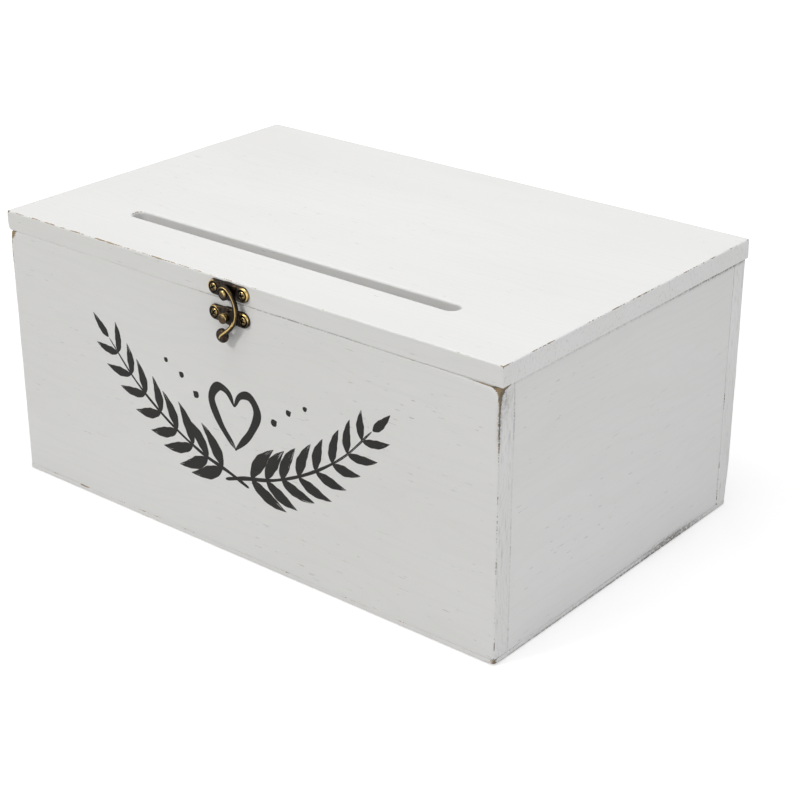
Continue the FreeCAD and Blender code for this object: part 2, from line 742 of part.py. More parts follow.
nodes = [
    make_front_panel(),
    make_back_panel(),
    make_side_panel("left_side_panel", f"-{SIDE_CENTRE}"),
    make_side_panel("right_side_panel", SIDE_CENTRE),
    make_bottom_panel(),
    make_lid_panel(),
    make_corner_brads(
        "front_corner_brads", f"-{HALF_DEPTH} + Dims.brad_cover + Dims.corner_brad_length"
    ),
    make_corner_brads("back_corner_brads", f"{HALF_DEPTH} - Dims.brad_cover"),
    make_bottom_brads(),
    make_latch_plate(),
    make_plate_screws("latch_plate_screws", LATCH_HEIGHT),
    make_latch_rivet(),
    make_latch_arm(),
    make_catch_plate(),
    make_plate_screws("catch_plate_screws", CATCH_HEIGHT),
    make_catch_stud(),
]
nodes += make_hinge("left", f"(-{HINGE_PLACE})")
nodes += make_hinge("right", HINGE_PLACE)

doc.recompute()

# Every feature is sound, and every cut takes material away
for item in doc.Objects:
    if "Invalid" in item.State or "Error" in item.State:
        raise RuntimeError(f"{item.Label} did not build: {item.State}")
    if item.TypeId == "PartDesign::Pocket":
        if item.Shape.Volume >= item.BaseFeature.Shape.Volume:
            raise RuntimeError(f"{item.Label} cuts nothing")
for node in nodes:
    if node.Shape.isNull() or not node.Shape.isValid():
        raise RuntimeError(f"{node.Label} has no sound shape")

os.makedirs("parts", exist_ok=True)
for node in nodes:
    node.Shape.exportStep(f"parts/{node.Label}.step")
    print(f"{node.Label}: {len(node.Shape.Solids)} solids, {node.Shape.Volume:.1f} mm3")
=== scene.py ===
import json
import math

import bpy
import numpy as np
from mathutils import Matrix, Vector


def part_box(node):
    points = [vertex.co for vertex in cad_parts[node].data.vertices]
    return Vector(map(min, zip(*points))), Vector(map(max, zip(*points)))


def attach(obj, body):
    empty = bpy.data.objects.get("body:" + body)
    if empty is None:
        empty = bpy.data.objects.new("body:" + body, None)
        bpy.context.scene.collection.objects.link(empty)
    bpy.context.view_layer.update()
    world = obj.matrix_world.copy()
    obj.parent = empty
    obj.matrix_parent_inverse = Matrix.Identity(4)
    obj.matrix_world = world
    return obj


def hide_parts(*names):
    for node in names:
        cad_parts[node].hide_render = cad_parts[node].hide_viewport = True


# The card box: white painted pine boards with sanded edges, a cast bronze swing latch, two butt
# hinges and a garland brushed on the front in black. Shapes are worked out in millimetres, in the
# frame's axes: +X right, +Y back, +Z up, with the origin in the middle of the underside.

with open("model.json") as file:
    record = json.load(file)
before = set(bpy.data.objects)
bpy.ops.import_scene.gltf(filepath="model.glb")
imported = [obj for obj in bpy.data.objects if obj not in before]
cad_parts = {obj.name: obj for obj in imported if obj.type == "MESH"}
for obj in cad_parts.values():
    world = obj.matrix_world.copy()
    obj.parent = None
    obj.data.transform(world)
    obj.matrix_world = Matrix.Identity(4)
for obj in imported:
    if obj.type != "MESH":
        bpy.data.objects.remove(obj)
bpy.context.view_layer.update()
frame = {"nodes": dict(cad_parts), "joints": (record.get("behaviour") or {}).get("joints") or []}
MM = 0.001
WELD = 1e-4


# Places and sizes that follow the frame

def box_of(node):
    """Lowest and highest corner of a CAD node, in millimetres."""
    low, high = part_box(node)
    return np.array(low) / MM, np.array(high) / MM


def joint_place(name):
    """Where a joint's axis goes through, in millimetres."""
    joint = next(j for j in frame["joints"] if j["name"] == name)
    return np.array(joint["pos_m"]) / MM


LID_LOW, LID_HIGH = box_of("lid_panel")
FRONT_LOW, FRONT_HIGH = box_of("front_panel")
FRONT_FACE = FRONT_LOW[1]
BACK_FACE = box_of("back_panel")[1][1]
PIVOT = joint_place("latch_swing")
HINGE_AXIS = joint_place("lid_hinge")
RIVET_HEAD_HEIGHT = 1.0
ARM_FRONT = box_of("latch_rivet")[0][1] + RIVET_HEAD_HEIGHT

SLOT_LENGTH = 234.95
SLOT_WIDTH = 10.0
SLOT_SETBACK = 44.0
SLOT_UPPER_EDGE = 1.4
SLOT_LOWER_EDGE = 0.7
SLOT_Y = LID_LOW[1] + SLOT_SETBACK
SLOT_HALF_STRAIGHT = (SLOT_LENGTH - SLOT_WIDTH) / 2

PLATE_THICKNESS = 1.8
PLATE_HEIGHT = 8.8
PLATE_SCREW_SPACING = 20.6
LOBE_RADIUS = 5.0
STUD_Z = 145.1
SCREW_HEAD_RADIUS = 2.2
PLATE_SEAT_DEPTH = 0.5


# Numpy helpers

def smoothstep(low, high, x):
    """0 below low, 1 above high and 3t^2 - 2t^3 between; low may be the larger one."""
    t = np.clip((x - low) / (high - low), 0, 1)
    return t * t * (3 - 2 * t)


def hump(x, centre, reach):
    """A bell: exp(-((x - centre) / reach)^2)."""
    return np.exp(-(((x - centre) / reach) ** 2))


def mottle(points, scale, seed):
    """Smooth random values from 0 to 1.

    Random numbers sit on a cubic lattice of the given spacing, and a point blends the eight round it
    by smoothstep weights.
    """
    table = np.random.default_rng(seed).random(8192)
    cell = np.asarray(points) / scale
    base = np.floor(cell).astype(np.int64)
    part = smoothstep(0, 1, cell - base)
    total = np.zeros(len(cell))
    for corner in np.ndindex(2, 2, 2):
        spot = base + np.array(corner)
        key = (spot[:, 0] * 73856093) ^ (spot[:, 1] * 19349663) ^ (spot[:, 2] * 83492791)
        weight = np.prod(np.where(corner, part, 1 - part), axis=1)
        total += weight * table[key % table.size]
    return total


def grid_faces(rows, columns, closed=False):
    """Quads of a grid of points in rows; a closed grid joins its last column to its first."""
    index = np.arange(rows * columns).reshape(rows, columns)
    if closed:
        index = np.concatenate([index, index[:, :1]], axis=1)
    corners = [index[:-1, :-1], index[:-1, 1:], index[1:, 1:], index[1:, :-1]]
    return np.stack(corners, axis=-1).reshape(-1, 4)


def shell(points, faces, **fields):
    """A closed surface with its faces turned outwards.

    The signed volume, the sum of a . (b x c) / 6 over the triangles, is made positive.
    """
    points = points.reshape(-1, 3)
    centred = points - points.mean(axis=0)
    a, b, c, d = (centred[faces[:, k]] for k in range(4))
    volume = (a * (np.cross(b, c) + np.cross(c, d))).sum()
    if volume < 0:
        faces = faces[:, ::-1]
    return points, faces, {name: np.ravel(field) for name, field in fields.items()}


def join(shells):
    """Several surfaces as one: points stacked, faces renumbered, fields strung together."""
    starts = np.cumsum([0] + [len(points) for points, _, _ in shells[:-1]])
    points = np.concatenate([s[0] for s in shells])
    faces = np.concatenate([s[1] + start for s, start in zip(shells, starts)])
    fields = {name: np.concatenate([s[2][name] for s in shells]) for name in shells[0][2]}
    return points, faces, fields


def make_piece(name, surface, finish, body, nodes=()):
    """A mesh object from a surface in millimetres, riding on a body.

    Points in one place are welded, and a quad that loses a corner that way becomes a triangle.
    """
    points, faces, fields = surface
    _, first, number = np.unique(
        np.round(points / WELD).astype(np.int64), axis=0, return_index=True, return_inverse=True
    )
    faces = number.reshape(-1)[faces]
    kept = faces != np.roll(faces, -1, axis=1)
    whole = kept.sum(axis=1) >= 3
    faces, kept = faces[whole], kept[whole]
    corners = kept.sum(axis=1)
    mesh = bpy.data.meshes.new(name)
    mesh.vertices.add(len(first))
    mesh.vertices.foreach_set("co", (points[first] * MM).astype(np.float32).ravel())
    mesh.loops.add(int(corners.sum()))
    mesh.loops.foreach_set("vertex_index", faces[kept].astype(np.int32))
    mesh.polygons.add(len(faces))
    mesh.polygons.foreach_set("loop_start", (np.cumsum(corners) - corners).astype(np.int32))
    mesh.polygons.foreach_set("use_smooth", np.ones(len(faces), dtype=bool))
    for field, values in fields.items():
        attribute = mesh.attributes.new(field, "FLOAT", "POINT")
        attribute.data.foreach_set("value", values[first].astype(np.float32))
    mesh.update(calc_edges=True)
    mesh.validate()
    mesh.materials.append(finish)
    piece = bpy.data.objects.new(name, mesh)
    bpy.context.scene.collection.objects.link(piece)
    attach(piece, body)
    if nodes:
        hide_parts(*nodes)
    return piece


# Boards

EDGE_STEPS = np.array([0, 0.12, 0.26, 0.42, 0.6, 0.82, 1.1, 1.5, 2.0, 2.7, 3.6, 4.8, 6.2])
BOARD_STEP = 1.8


def edge_lines(low, high, step):
    """Places from low to high: close together near both ends, one step apart between them."""
    near = EDGE_STEPS[EDGE_STEPS < (high - low) * 0.45]
    inner_low, inner_high = low + near[-1], high - near[-1]
    count = max(2, round((inner_high - inner_low) / step) + 1)
    middle = np.linspace(inner_low, inner_high, count)[1:-1]
    return np.concatenate([low + near, middle, (high - near)[::-1]])


def box_grid(low, high, step):
    """The six faces of a box as grids that share their borders."""
    lines = [edge_lines(a, b, step) for a, b in zip(low, high)]
    sheets = []
    for axis, across, up in ((0, 1, 2), (1, 2, 0), (2, 0, 1)):
        first, second = np.meshgrid(lines[across], lines[up], indexing="ij")
        for end, outward in ((low[axis], 1), (high[axis], -1)):
            points = np.empty((first.size, 3))
            points[:, axis] = end
            points[:, across] = first.ravel()
            points[:, up] = second.ravel()
            sheets.append((points, grid_faces(*first.shape)[:, ::outward], {}))
    return join(sheets)


def round_over(points, low, high, radius):
    """Rounds a box's edges by a radius that has its own x, y and z parts and changes from place to place.

    c is the point drawn back to within the radius of every face. The point is then set out from c on
    the ellipsoid of that radius, in the direction in which it lay.
    """
    radius = np.minimum(radius, 0.45 * (high - low))
    core = np.clip(points, low + radius, high - radius)
    lean = (points - core) / radius
    return core + radius * lean / np.maximum(np.linalg.norm(lean, axis=1, keepdims=True), 1)


def edge_distance(points, low, high):
    """How far a point of a box's surface is from the nearest edge: the second least face distance."""
    return np.sort(np.minimum(points - low, high - points), axis=1)[:, 1]


def sanding(points, spots):
    """Radius added (x, y, z) and paint rubbed away at a point, from bells round the worn spots.

    A spot is its centre, its reach along each axis, its added radius along each axis and its rub.
    """
    radius, rub = np.zeros(points.shape), np.zeros(len(points))
    for centre, reach, depth, strength in spots:
        bell = np.exp(-(((points - np.array(centre)) / np.array(reach)) ** 2).sum(axis=1))
        radius += bell[:, None] * np.array(depth)
        rub += bell * strength
    return radius, rub


PAINT_LAP = (1.2, 4.0)


def board_fields(points, low, high, rub, grain_axis, bare_faces):
    """What a board's finish reads: edge distance, rub, end grain and thin paint on the bare faces."""
    ends = np.minimum(points - low, high - points)[:, grain_axis]
    from_edge = edge_distance(points, low, high)
    bare = np.zeros(len(points))
    for axis, side in bare_faces:
        face = (low if side < 0 else high)[axis]
        bare = np.maximum(bare, np.abs(points[:, axis] - face) < WELD)
    bare *= smoothstep(*PAINT_LAP, from_edge)
    return {
        "edge_distance": np.minimum(from_edge, 12),
        "sanded": rub,
        "end_grain": smoothstep(0.3, 0.05, ends),
        "bare": bare,
    }


LEAST_RADIUS = 0.08
PAINT_DEPTH = 0.5


def worn_through(points, shaped):
    """Rub where the sanding took away more than the paint's depth: 0 below it, 2 well above it."""
    taken = np.linalg.norm(points - shaped, axis=1)
    return 2.0 * smoothstep(PAINT_DEPTH, 1.6 * PAINT_DEPTH, taken)


def uneven(points, radius, seed):
    """A hand-sanded edge radius: 0.5 to 1.6 times the given one, changing every few millimetres."""
    coarse, fine = mottle(points, 14.0, seed), mottle(points, 3.0, seed + 1)
    return radius * (0.5 + 0.75 * coarse + 0.35 * fine)


SEAM_LIFT = 0.29
SEAM_REACH = 4
SEAM_OPEN_X, SEAM_SHUT_X = 150, 40


def close_seam(points, top):
    """Lifts a board's upper edge towards the lid: by SEAM_LIFT on the left, by nothing on the right."""
    near_top = smoothstep(top - SEAM_REACH, top, points[:, 2])
    points[:, 2] += SEAM_LIFT * near_top * smoothstep(SEAM_OPEN_X, SEAM_SHUT_X, points[:, 0])


def board(node, seed, edge_radius, joint_radius, outer, grain_axis, bare_faces, spots=(), dirt_and_shade=()):
    """A sanded board in a CAD panel's place: a box whose edges are rounded by an uneven radius.

    The radius goes from joint_radius at the inner side to edge_radius at the outer side, which is
    given as (axis, direction), and swells at the worn spots. The dark spots are a list of spots too:
    dark marks in places and painted shade lines in others.
    """
    low, high = box_of(node)
    points, faces, _ = box_grid(low, high, BOARD_STEP)
    axis, direction = outer
    share = (points[:, axis] - low[axis]) / (high[axis] - low[axis])
    if direction < 0:
        share = 1 - share
    radius = joint_radius + (edge_radius - joint_radius) * smoothstep(0.2, 0.9, share)
    added, rub = sanding(points, spots)
    radii = np.maximum(uneven(points, radius, seed)[:, None] + added, LEAST_RADIUS)
    shaped = round_over(points, low, high, radii)
    rub = rub + worn_through(points, shaped)
    fields = board_fields(points, low, high, rub, grain_axis, bare_faces)
    # Dark spots: real marks in places, painted shade lines under the lid and in the seam in others
    fields["dirt_and_shade"] = sanding(points, dirt_and_shade)[1]
    return shaped, faces, fields


# Lid with the card slot

RAY_STEPS = np.array(
    [0, 0.0008, 0.0018, 0.003, 0.0045, 0.0065, 0.009, 0.012, 0.016, 0.022, 0.03, 0.045, 0.07, 0.11,
     0.17, 0.26, 0.38]
)
LID_STEP = 2.6


def lid_outline():
    """The lid's outer rectangle as points in order, close together near its corners."""
    x = edge_lines(LID_LOW[0], LID_HIGH[0], LID_STEP)
    y = edge_lines(LID_LOW[1], LID_HIGH[1], LID_STEP)
    front = np.stack([x[:-1], np.full(len(x) - 1, LID_LOW[1])], axis=1)
    right = np.stack([np.full(len(y) - 1, LID_HIGH[0]), y[:-1]], axis=1)
    back = np.stack([x[:0:-1], np.full(len(x) - 1, LID_HIGH[1])], axis=1)
    left = np.stack([np.full(len(y) - 1, LID_LOW[0]), y[:0:-1]], axis=1)
    return np.concatenate([front, right, back, left])


def slot_spine(xy):
    """The nearest point of the slot's middle line."""
    along = np.clip(xy[..., 0], -SLOT_HALF_STRAIGHT, SLOT_HALF_STRAIGHT)
    return np.stack([along, np.full(along.shape, SLOT_Y)], axis=-1)


def ease_slot(points):
    """Rounds the slot's two rims: a quarter circle in distance from the rim and height at each."""
    spine = slot_spine(points[:, :2])
    away = points[:, :2] - spine
    reach = np.linalg.norm(away, axis=1)
    gap = reach - SLOT_WIDTH / 2
    upper = points[:, 2] > (LID_LOW[2] + LID_HIGH[2]) / 2
    radius = np.where(upper, SLOT_UPPER_EDGE, SLOT_LOWER_EDGE)
    core_gap = np.maximum(gap, radius)
    core_z = np.clip(points[:, 2], LID_LOW[2] + SLOT_LOWER_EDGE, LID_HIGH[2] - SLOT_UPPER_EDGE)
    lean = np.stack([gap - core_gap, points[:, 2] - core_z], axis=1) / radius[:, None]
    lean /= np.maximum(np.linalg.norm(lean, axis=1, keepdims=True), 1)
    new_reach = SLOT_WIDTH / 2 + core_gap + radius * lean[:, 0]
    eased = points.copy()
    eased[:, :2] = spine + away * (new_reach / reach)[:, None]
    eased[:, 2] = core_z + radius * lean[:, 1]
    near = gap < radius + WELD
    return np.where(near[:, None], eased, points)


def lid_board(seed, edge_radius, spots):
    """The lid: rays from the slot's rim to the outer rectangle carry the top and the underside.

    Each outer point O has the slot's nearest rim point I, and the faces are I + t (O - I). Walls
    between the two faces close the slot and the outer sides.
    """
    outer = lid_outline()
    spine = slot_spine(outer)
    away = outer - spine
    rim = spine + away / np.linalg.norm(away, axis=1, keepdims=True) * SLOT_WIDTH / 2
    t = np.concatenate([RAY_STEPS, [0.5], 1 - RAY_STEPS[::-1]])[:, None, None]
    plan = rim + t * (outer - rim)
    heights = edge_lines(LID_LOW[2], LID_HIGH[2], BOARD_STEP)[:, None]
    count = len(outer)

    def face(z):
        return np.concatenate([plan, np.full(plan.shape[:2] + (1,), z)], axis=-1)

    def wall(loop):
        flat = np.broadcast_to(loop, (len(heights), count, 2))
        return np.concatenate([flat, np.broadcast_to(heights, (len(heights), count))[..., None]], axis=-1)

    sheets = [
        (grid.reshape(-1, 3), grid_faces(len(grid), count, closed=True)[:, ::turn], {})
        for grid, turn in (
            (face(LID_HIGH[2]), -1), (face(LID_LOW[2]), 1), (wall(outer), 1), (wall(rim), -1)
        )
    ]
    points, faces, _ = join(sheets)
    added, rub = sanding(points, spots)
    radii = np.maximum(uneven(points, edge_radius, seed)[:, None] + added, LEAST_RADIUS)
    shaped = round_over(points, LID_LOW, LID_HIGH, radii)
    rub = rub + worn_through(points, shaped)
    fields = board_fields(points, LID_LOW, LID_HIGH, rub, 0, [(2, -1)])
    slot_gap = np.linalg.norm(points[:, :2] - slot_spine(points[:, :2]), axis=1) - SLOT_WIDTH / 2
    on_wall = np.minimum(points[:, 2] - LID_LOW[2], LID_HIGH[2] - points[:, 2])
    slot_edge = np.maximum(slot_gap, on_wall)
    fields["edge_distance"] = np.minimum(fields["edge_distance"], slot_edge + 0.35)
    fields["dirt_and_shade"] = np.zeros(len(points))
    return ease_slot(shaped), faces, fields


# Turned, cast and bent metal

def corner_profile(corners, radius, steps=7):
    """A profile through (r, h) corners, each inner one rounded by a parabola of the given reach."""
    corners = np.array(corners, dtype=float)
    pieces = [corners[:1]]
    u = np.linspace(0, 1, steps)[:, None]
    for before, here, after in zip(corners[:-2], corners[1:-1], corners[2:]):
        into, out = before - here, after - here
        room = min(radius, 0.45 * np.linalg.norm(into), 0.45 * np.linalg.norm(out))
        start = here + into / np.linalg.norm(into) * room
        end = here + out / np.linalg.norm(out) * room
        pieces.append((1 - u) ** 2 * start + 2 * u * (1 - u) * here + u**2 * end)
    pieces.append(corners[-1:])
    return np.concatenate(pieces)


def place(axis, centre, a, b, height):
    """Points from two coordinates across an axis and one along it.

    Across -Y, a is x and b is z; across +Y, a is -x; along X, a is y and b is z.
    """
    parts = {"-y": (a, -height, b), "+y": (-a, height, b), "x": (height, a, b)}[axis]
    return np.stack(np.broadcast_arrays(*parts), axis=-1) + np.array(centre)


def rub_and_highlight_side(angle, towards):
    """Weight that puts brass on one side of a part, partly rubbed wear and partly a painted highlight: 1
    at the direction in degrees, down to 0 on the far side, (1/2 + 1/2 cos)^2.
    """
    return (0.5 + 0.5 * np.cos(angle - np.radians(towards))) ** 2


def turned(profile, axis, centre, rub, segments=72, closed=False):
    """A turned piece: the (r, h) profile carried round the axis, r out from it and h along it."""
    profile = np.concatenate([profile, profile[:1]]) if closed else profile
    r, h = profile[:, :1], profile[:, 1:]
    angle = np.linspace(0, 2 * math.pi, segments, endpoint=False)
    points = place(axis, centre, r * np.cos(angle), r * np.sin(angle), h)
    worn = np.broadcast_to(rub(r, h, angle), points.shape[:2])
    return shell(points, grid_faces(len(profile), segments, closed=True), rub=worn)


THREAD_PITCH, THREAD_HEIGHT = 1.0, 0.28
HEAD_RIM, HEAD_CROWN = 0.35, 0.75
CROSS_DEPTH = 0.8
CROSS_SIDE = (0.58, 0.4)
CROSS_END = (1.8, 1.55)


def wood_screw(axis, centre, turn):
    """A cross-head wood screw: profile rows carried round, with a cross sunk in the head and a thread.

    The cross is deep where the smaller of |x|, |z| is under half its width and the larger under half
    its length. On the shank the radius rises as a ridge where height / pitch + angle is whole.
    """
    angle = np.linspace(0, 2 * math.pi, 96, endpoint=False)
    s = np.linspace(0, 1, 44)[:, None]
    head_r, head_h = SCREW_HEAD_RADIUS * s, HEAD_RIM + HEAD_CROWN * (1 - s**2.4)
    x, z = np.abs(head_r * np.cos(angle - turn)), np.abs(head_r * np.sin(angle - turn))
    narrow, wide = np.minimum(x, z), np.maximum(x, z)
    cross = smoothstep(*CROSS_SIDE, narrow) * smoothstep(*CROSS_END, wide)
    lip = hump(narrow, 0.68, 0.14) * smoothstep(1.9, 1.5, wide)
    h = head_h - CROSS_DEPTH * cross
    head = place(axis, centre, head_r * np.cos(angle), head_r * np.sin(angle), h)
    # The brass ring round the head lies on one side only: partly wear, partly a painted highlight; the
    # cross stays dark
    head_rub_and_highlight = 0.3 + 0.35 * lip + 0.4 * hump(head_r, 1.95, 0.3) * rub_and_highlight_side(angle, 40) - 1.2 * cross
    depth = np.concatenate([[0.15, 0, -0.3, -0.45], np.linspace(-0.6, -6.2, 60), [-6.9, -7.0]])[:, None]
    core = np.interp(-depth, [-0.15, 0, 0.3, 0.45, 4.5, 6.9, 7.0], [2.2, 2.05, 1.3, 0.85, 0.8, 0.12, 0])
    ridge = np.cos(2 * math.pi * (depth / THREAD_PITCH) + angle) ** 8
    thread = THREAD_HEIGHT * ridge * smoothstep(-0.8, -1.4, depth) * smoothstep(-6.9, -5.2, depth)
    radius = core + thread
    shank = place(axis, centre, radius * np.cos(angle), radius * np.sin(angle), depth)
    points = np.concatenate([head, shank])
    rub = np.concatenate([head_rub_and_highlight, np.broadcast_to(0.2 + 0.5 * ridge, shank.shape[:2])])
    return shell(points, grid_faces(len(points), len(angle), closed=True), rub=rub)


def outline_radius(inside, angle):
    """How far a star-shaped outline reaches along each angle, by halving on its signed distance."""
    near, far = np.zeros(angle.shape), np.full(angle.shape, 40.0)
    for _ in range(40):
        middle = (near + far) / 2
        within = inside(middle * np.cos(angle), middle * np.sin(angle)) < 0
        near, far = np.where(within, middle, near), np.where(within, far, middle)
    return near


CAST_ROWS = np.concatenate([np.linspace(0, 0.8, 44), 1 - np.geomspace(0.18, 0.004, 16), [1.0]])


def casting(inside, height, worn, axis, centre, columns=360):
    """A flat-backed casting: rays from its middle to its outline, with a height at each point.

    inside(a, b) is the signed distance to the outline. The front is height(a, b, depth inside), and
    the back lies flat on the board.
    """
    fine = np.linspace(0, 2 * math.pi, 4001)
    reach = outline_radius(inside, fine)
    outline = np.stack([reach * np.cos(fine), reach * np.sin(fine)], axis=1)
    length = np.concatenate([[0], np.cumsum(np.linalg.norm(np.diff(outline, axis=0), axis=1))])
    angle = np.interp(np.linspace(0, length[-1], columns, endpoint=False), length, fine)
    reach = outline_radius(inside, angle)
    a = CAST_ROWS[:, None] * reach * np.cos(angle)
    b = CAST_ROWS[:, None] * reach * np.sin(angle)
    depth = np.maximum(-inside(a, b), 0)
    front = place(axis, centre, a, b, height(a, b, depth))
    back_rows = np.array([1.0, 0.5, 0.0])[:, None]
    back = place(axis, centre, back_rows * reach * np.cos(angle), back_rows * reach * np.sin(angle), 0)
    points = np.concatenate([front, back])
    rub = np.concatenate([worn(a, b, depth), np.zeros(back.shape[:2])])
    return shell(points, grid_faces(len(points), columns, closed=True), rub=rub)


def rim(depth, radius):
    """A rounded rim: the height of a quarter circle of that radius, from 0 at the outline to 1 inside."""
    return np.sqrt(1 - (1 - np.clip(depth / radius, 0, 1)) ** 2)


def bar_distance(a, b, half_length, radius):
    """Signed distance to a bar with round ends along a."""
    return np.hypot(np.maximum(np.abs(a) - half_length, 0), b) - radius


def blend_distance(first, second, radius):
    """The union of two outlines, with the hollow between them filled in by a fillet."""
    share = np.clip(0.5 + 0.5 * (second - first) / radius, 0, 1)
    return second + (first - second) * share - radius * share * (1 - share)


EAR_RECESS_RADIUS, EAR_DISH_DEPTH = 3.1, 0.75
EAR_RING_RADIUS, EAR_RING_HEIGHT = 3.65, 0.3
EAR_REACH = 4.0
PLATE_RIM = 1.1
LOBE_DROP, LOBE_FILLET = 0.55, 1.6


def latch_plate_shape(lobe_drop, left_rub_and_highlight, right_rub_and_highlight):
    """Outline, height and wear of a latch plate whose round lobe is centred lobe_drop below its middle.

    Each ear is rubbed to brass most in one direction, given in degrees with its strength; that one-sided
    brass is partly wear and partly a painted highlight.
    """
    half = PLATE_HEIGHT / 2

    def inside(a, b):
        bar = bar_distance(a, b, PLATE_SCREW_SPACING / 2 + EAR_REACH - half, half)
        lobe = np.hypot(a, b + lobe_drop) - LOBE_RADIUS
        return blend_distance(bar, lobe, LOBE_FILLET)

    def ear(a, b):
        return np.hypot(np.abs(a) - PLATE_SCREW_SPACING / 2, b)

    def height(a, b, depth):
        ear_r = ear(a, b)
        body = PLATE_THICKNESS - 0.35 * hump(np.abs(a), 5.6, 1.4)
        ring = EAR_RING_HEIGHT * hump(ear_r, EAR_RING_RADIUS, 0.45)
        dish = EAR_DISH_DEPTH * smoothstep(EAR_RECESS_RADIUS + 0.35, EAR_RECESS_RADIUS - 0.35, ear_r)
        return (body + ring) * (0.2 + 0.8 * rim(depth, PLATE_RIM)) - dish

    def worn(a, b, depth):
        ear_r = ear(a, b)
        towards, strength = (np.where(a < 0, *pair) for pair in zip(left_rub_and_highlight, right_rub_and_highlight))
        turn = np.arctan2(b, a - np.sign(a) * PLATE_SCREW_SPACING / 2)
        # Brass on one side of each ear ring and rim: partly wear, partly a painted highlight; the recess
        # stays dark patina
        rubbed = strength * rub_and_highlight_side(turn, towards)
        rings = hump(ear_r, 3.7, 0.4) + 0.45 * hump(depth, 0.4, 0.3)
        return rubbed * rings - 0.35 * (ear_r < EAR_RECESS_RADIUS) - 0.12

    return inside, height, worn


# Swing hook

HOOK_CENTRE = PIVOT + np.array([-5.2, 0, -8.6])
HOOK_OUTER = 14.4
HOOK_INNER = 11.7
HOOK_THICKNESS = 2.2
EYE_RADIUS = 4.2
HOOK_END_DEGREES = -66
KNOB = PIVOT + np.array([-2.6, 0, -24.4])
KNOB_RADIUS, KNOB_HALF_HEIGHT = 4.0, 2.2


def hook_bow():
    """The hook's eye and bow: a squared-off oval section carried round the bow's centre.

    At each angle the section spans an inner and an outer radius. Near the pivot these are where the
    ray enters and leaves the eye's disc, d cos(q) -+ sqrt(r^2 - d^2 sin^2(q)), and further down they
    are the bow's own. A ridge follows the outer edge.
    """
    eye_reach = math.hypot(HOOK_CENTRE[0] - PIVOT[0], HOOK_CENTRE[2] - PIVOT[2])
    eye_angle = math.atan2(PIVOT[2] - HOOK_CENTRE[2], PIVOT[0] - HOOK_CENTRE[0])
    eye_half = math.asin(EYE_RADIUS / eye_reach)
    first, last = eye_angle + eye_half, math.radians(HOOK_END_DEGREES)
    u = (1 - np.cos(np.linspace(0, math.pi, 240))) / 2
    angle = (first + (last - first) * u)[:, None]
    turn = angle - eye_angle
    middle = eye_reach * np.cos(turn)
    half_chord = np.sqrt(np.maximum(EYE_RADIUS**2 - (eye_reach * np.sin(turn)) ** 2, 0))
    degrees = np.degrees(angle)
    bow_inner = HOOK_INNER - 3.2 * hump(degrees, -15, 17) + 1.3 * smoothstep(-36, -60, degrees)
    to_bow_out = smoothstep(math.radians(10), math.radians(-8), turn)
    to_bow_in = smoothstep(math.radians(-15), math.radians(-31), turn)
    outer = (middle + half_chord) * (1 - to_bow_out) + HOOK_OUTER * to_bow_out
    inner = (middle - half_chord) * (1 - to_bow_in) + bow_inner * to_bow_in
    end = np.sqrt(1 - smoothstep(HOOK_END_DEGREES + 10, HOOK_END_DEGREES, degrees) ** 2)
    centre, half = (outer + inner) / 2, (outer - inner) / 2 * end
    phase = np.linspace(0, 2 * math.pi, 80, endpoint=False)
    across = np.sign(np.cos(phase)) * np.abs(np.cos(phase)) ** 0.45
    level = np.sign(np.sin(phase)) * np.abs(np.sin(phase)) ** 0.45
    radius = centre + half * across
    from_outer = centre + half - radius
    front = smoothstep(0.2, 0.9, np.sin(phase)) * np.ones(angle.shape)
    run = smoothstep(math.radians(24), math.radians(10), turn)
    ridge = hump(from_outer, 0.75, 0.42) * front * run
    web = smoothstep(1.1, 2.0, from_outer) * front
    rise = HOOK_THICKNESS / 2 * level * (0.45 + 0.55 * end) + 0.4 * ridge - 0.35 * web * run
    y = ARM_FRONT + HOOK_THICKNESS / 2 - rise
    points = np.stack(
        [HOOK_CENTRE[0] + radius * np.cos(angle), y, HOOK_CENTRE[2] + radius * np.sin(angle)], axis=-1
    )
    worn = 0.9 * ridge - 0.5 * web
    return shell(points, grid_faces(*points.shape[:2], closed=True), rub=worn)


def smooth_path(places, count):
    """A smooth path through places: cubic Catmull-Rom spans, with the end tangents one-sided."""
    places = np.array(places, dtype=float)
    padded = np.concatenate([2 * places[:1] - places[1:2], places, 2 * places[-1:] - places[-2:-1]])
    s = np.linspace(0, len(places) - 1, count)
    span = np.minimum(s.astype(int), len(places) - 2)
    t = (s - span)[:, None]
    a, b, c, d = (padded[span + k] for k in range(4))
    return 0.5 * (
        2 * b + (c - a) * t + (2 * a - 5 * b + 4 * c - d) * t**2 + (3 * b - a - 3 * c + d) * t**3
    )


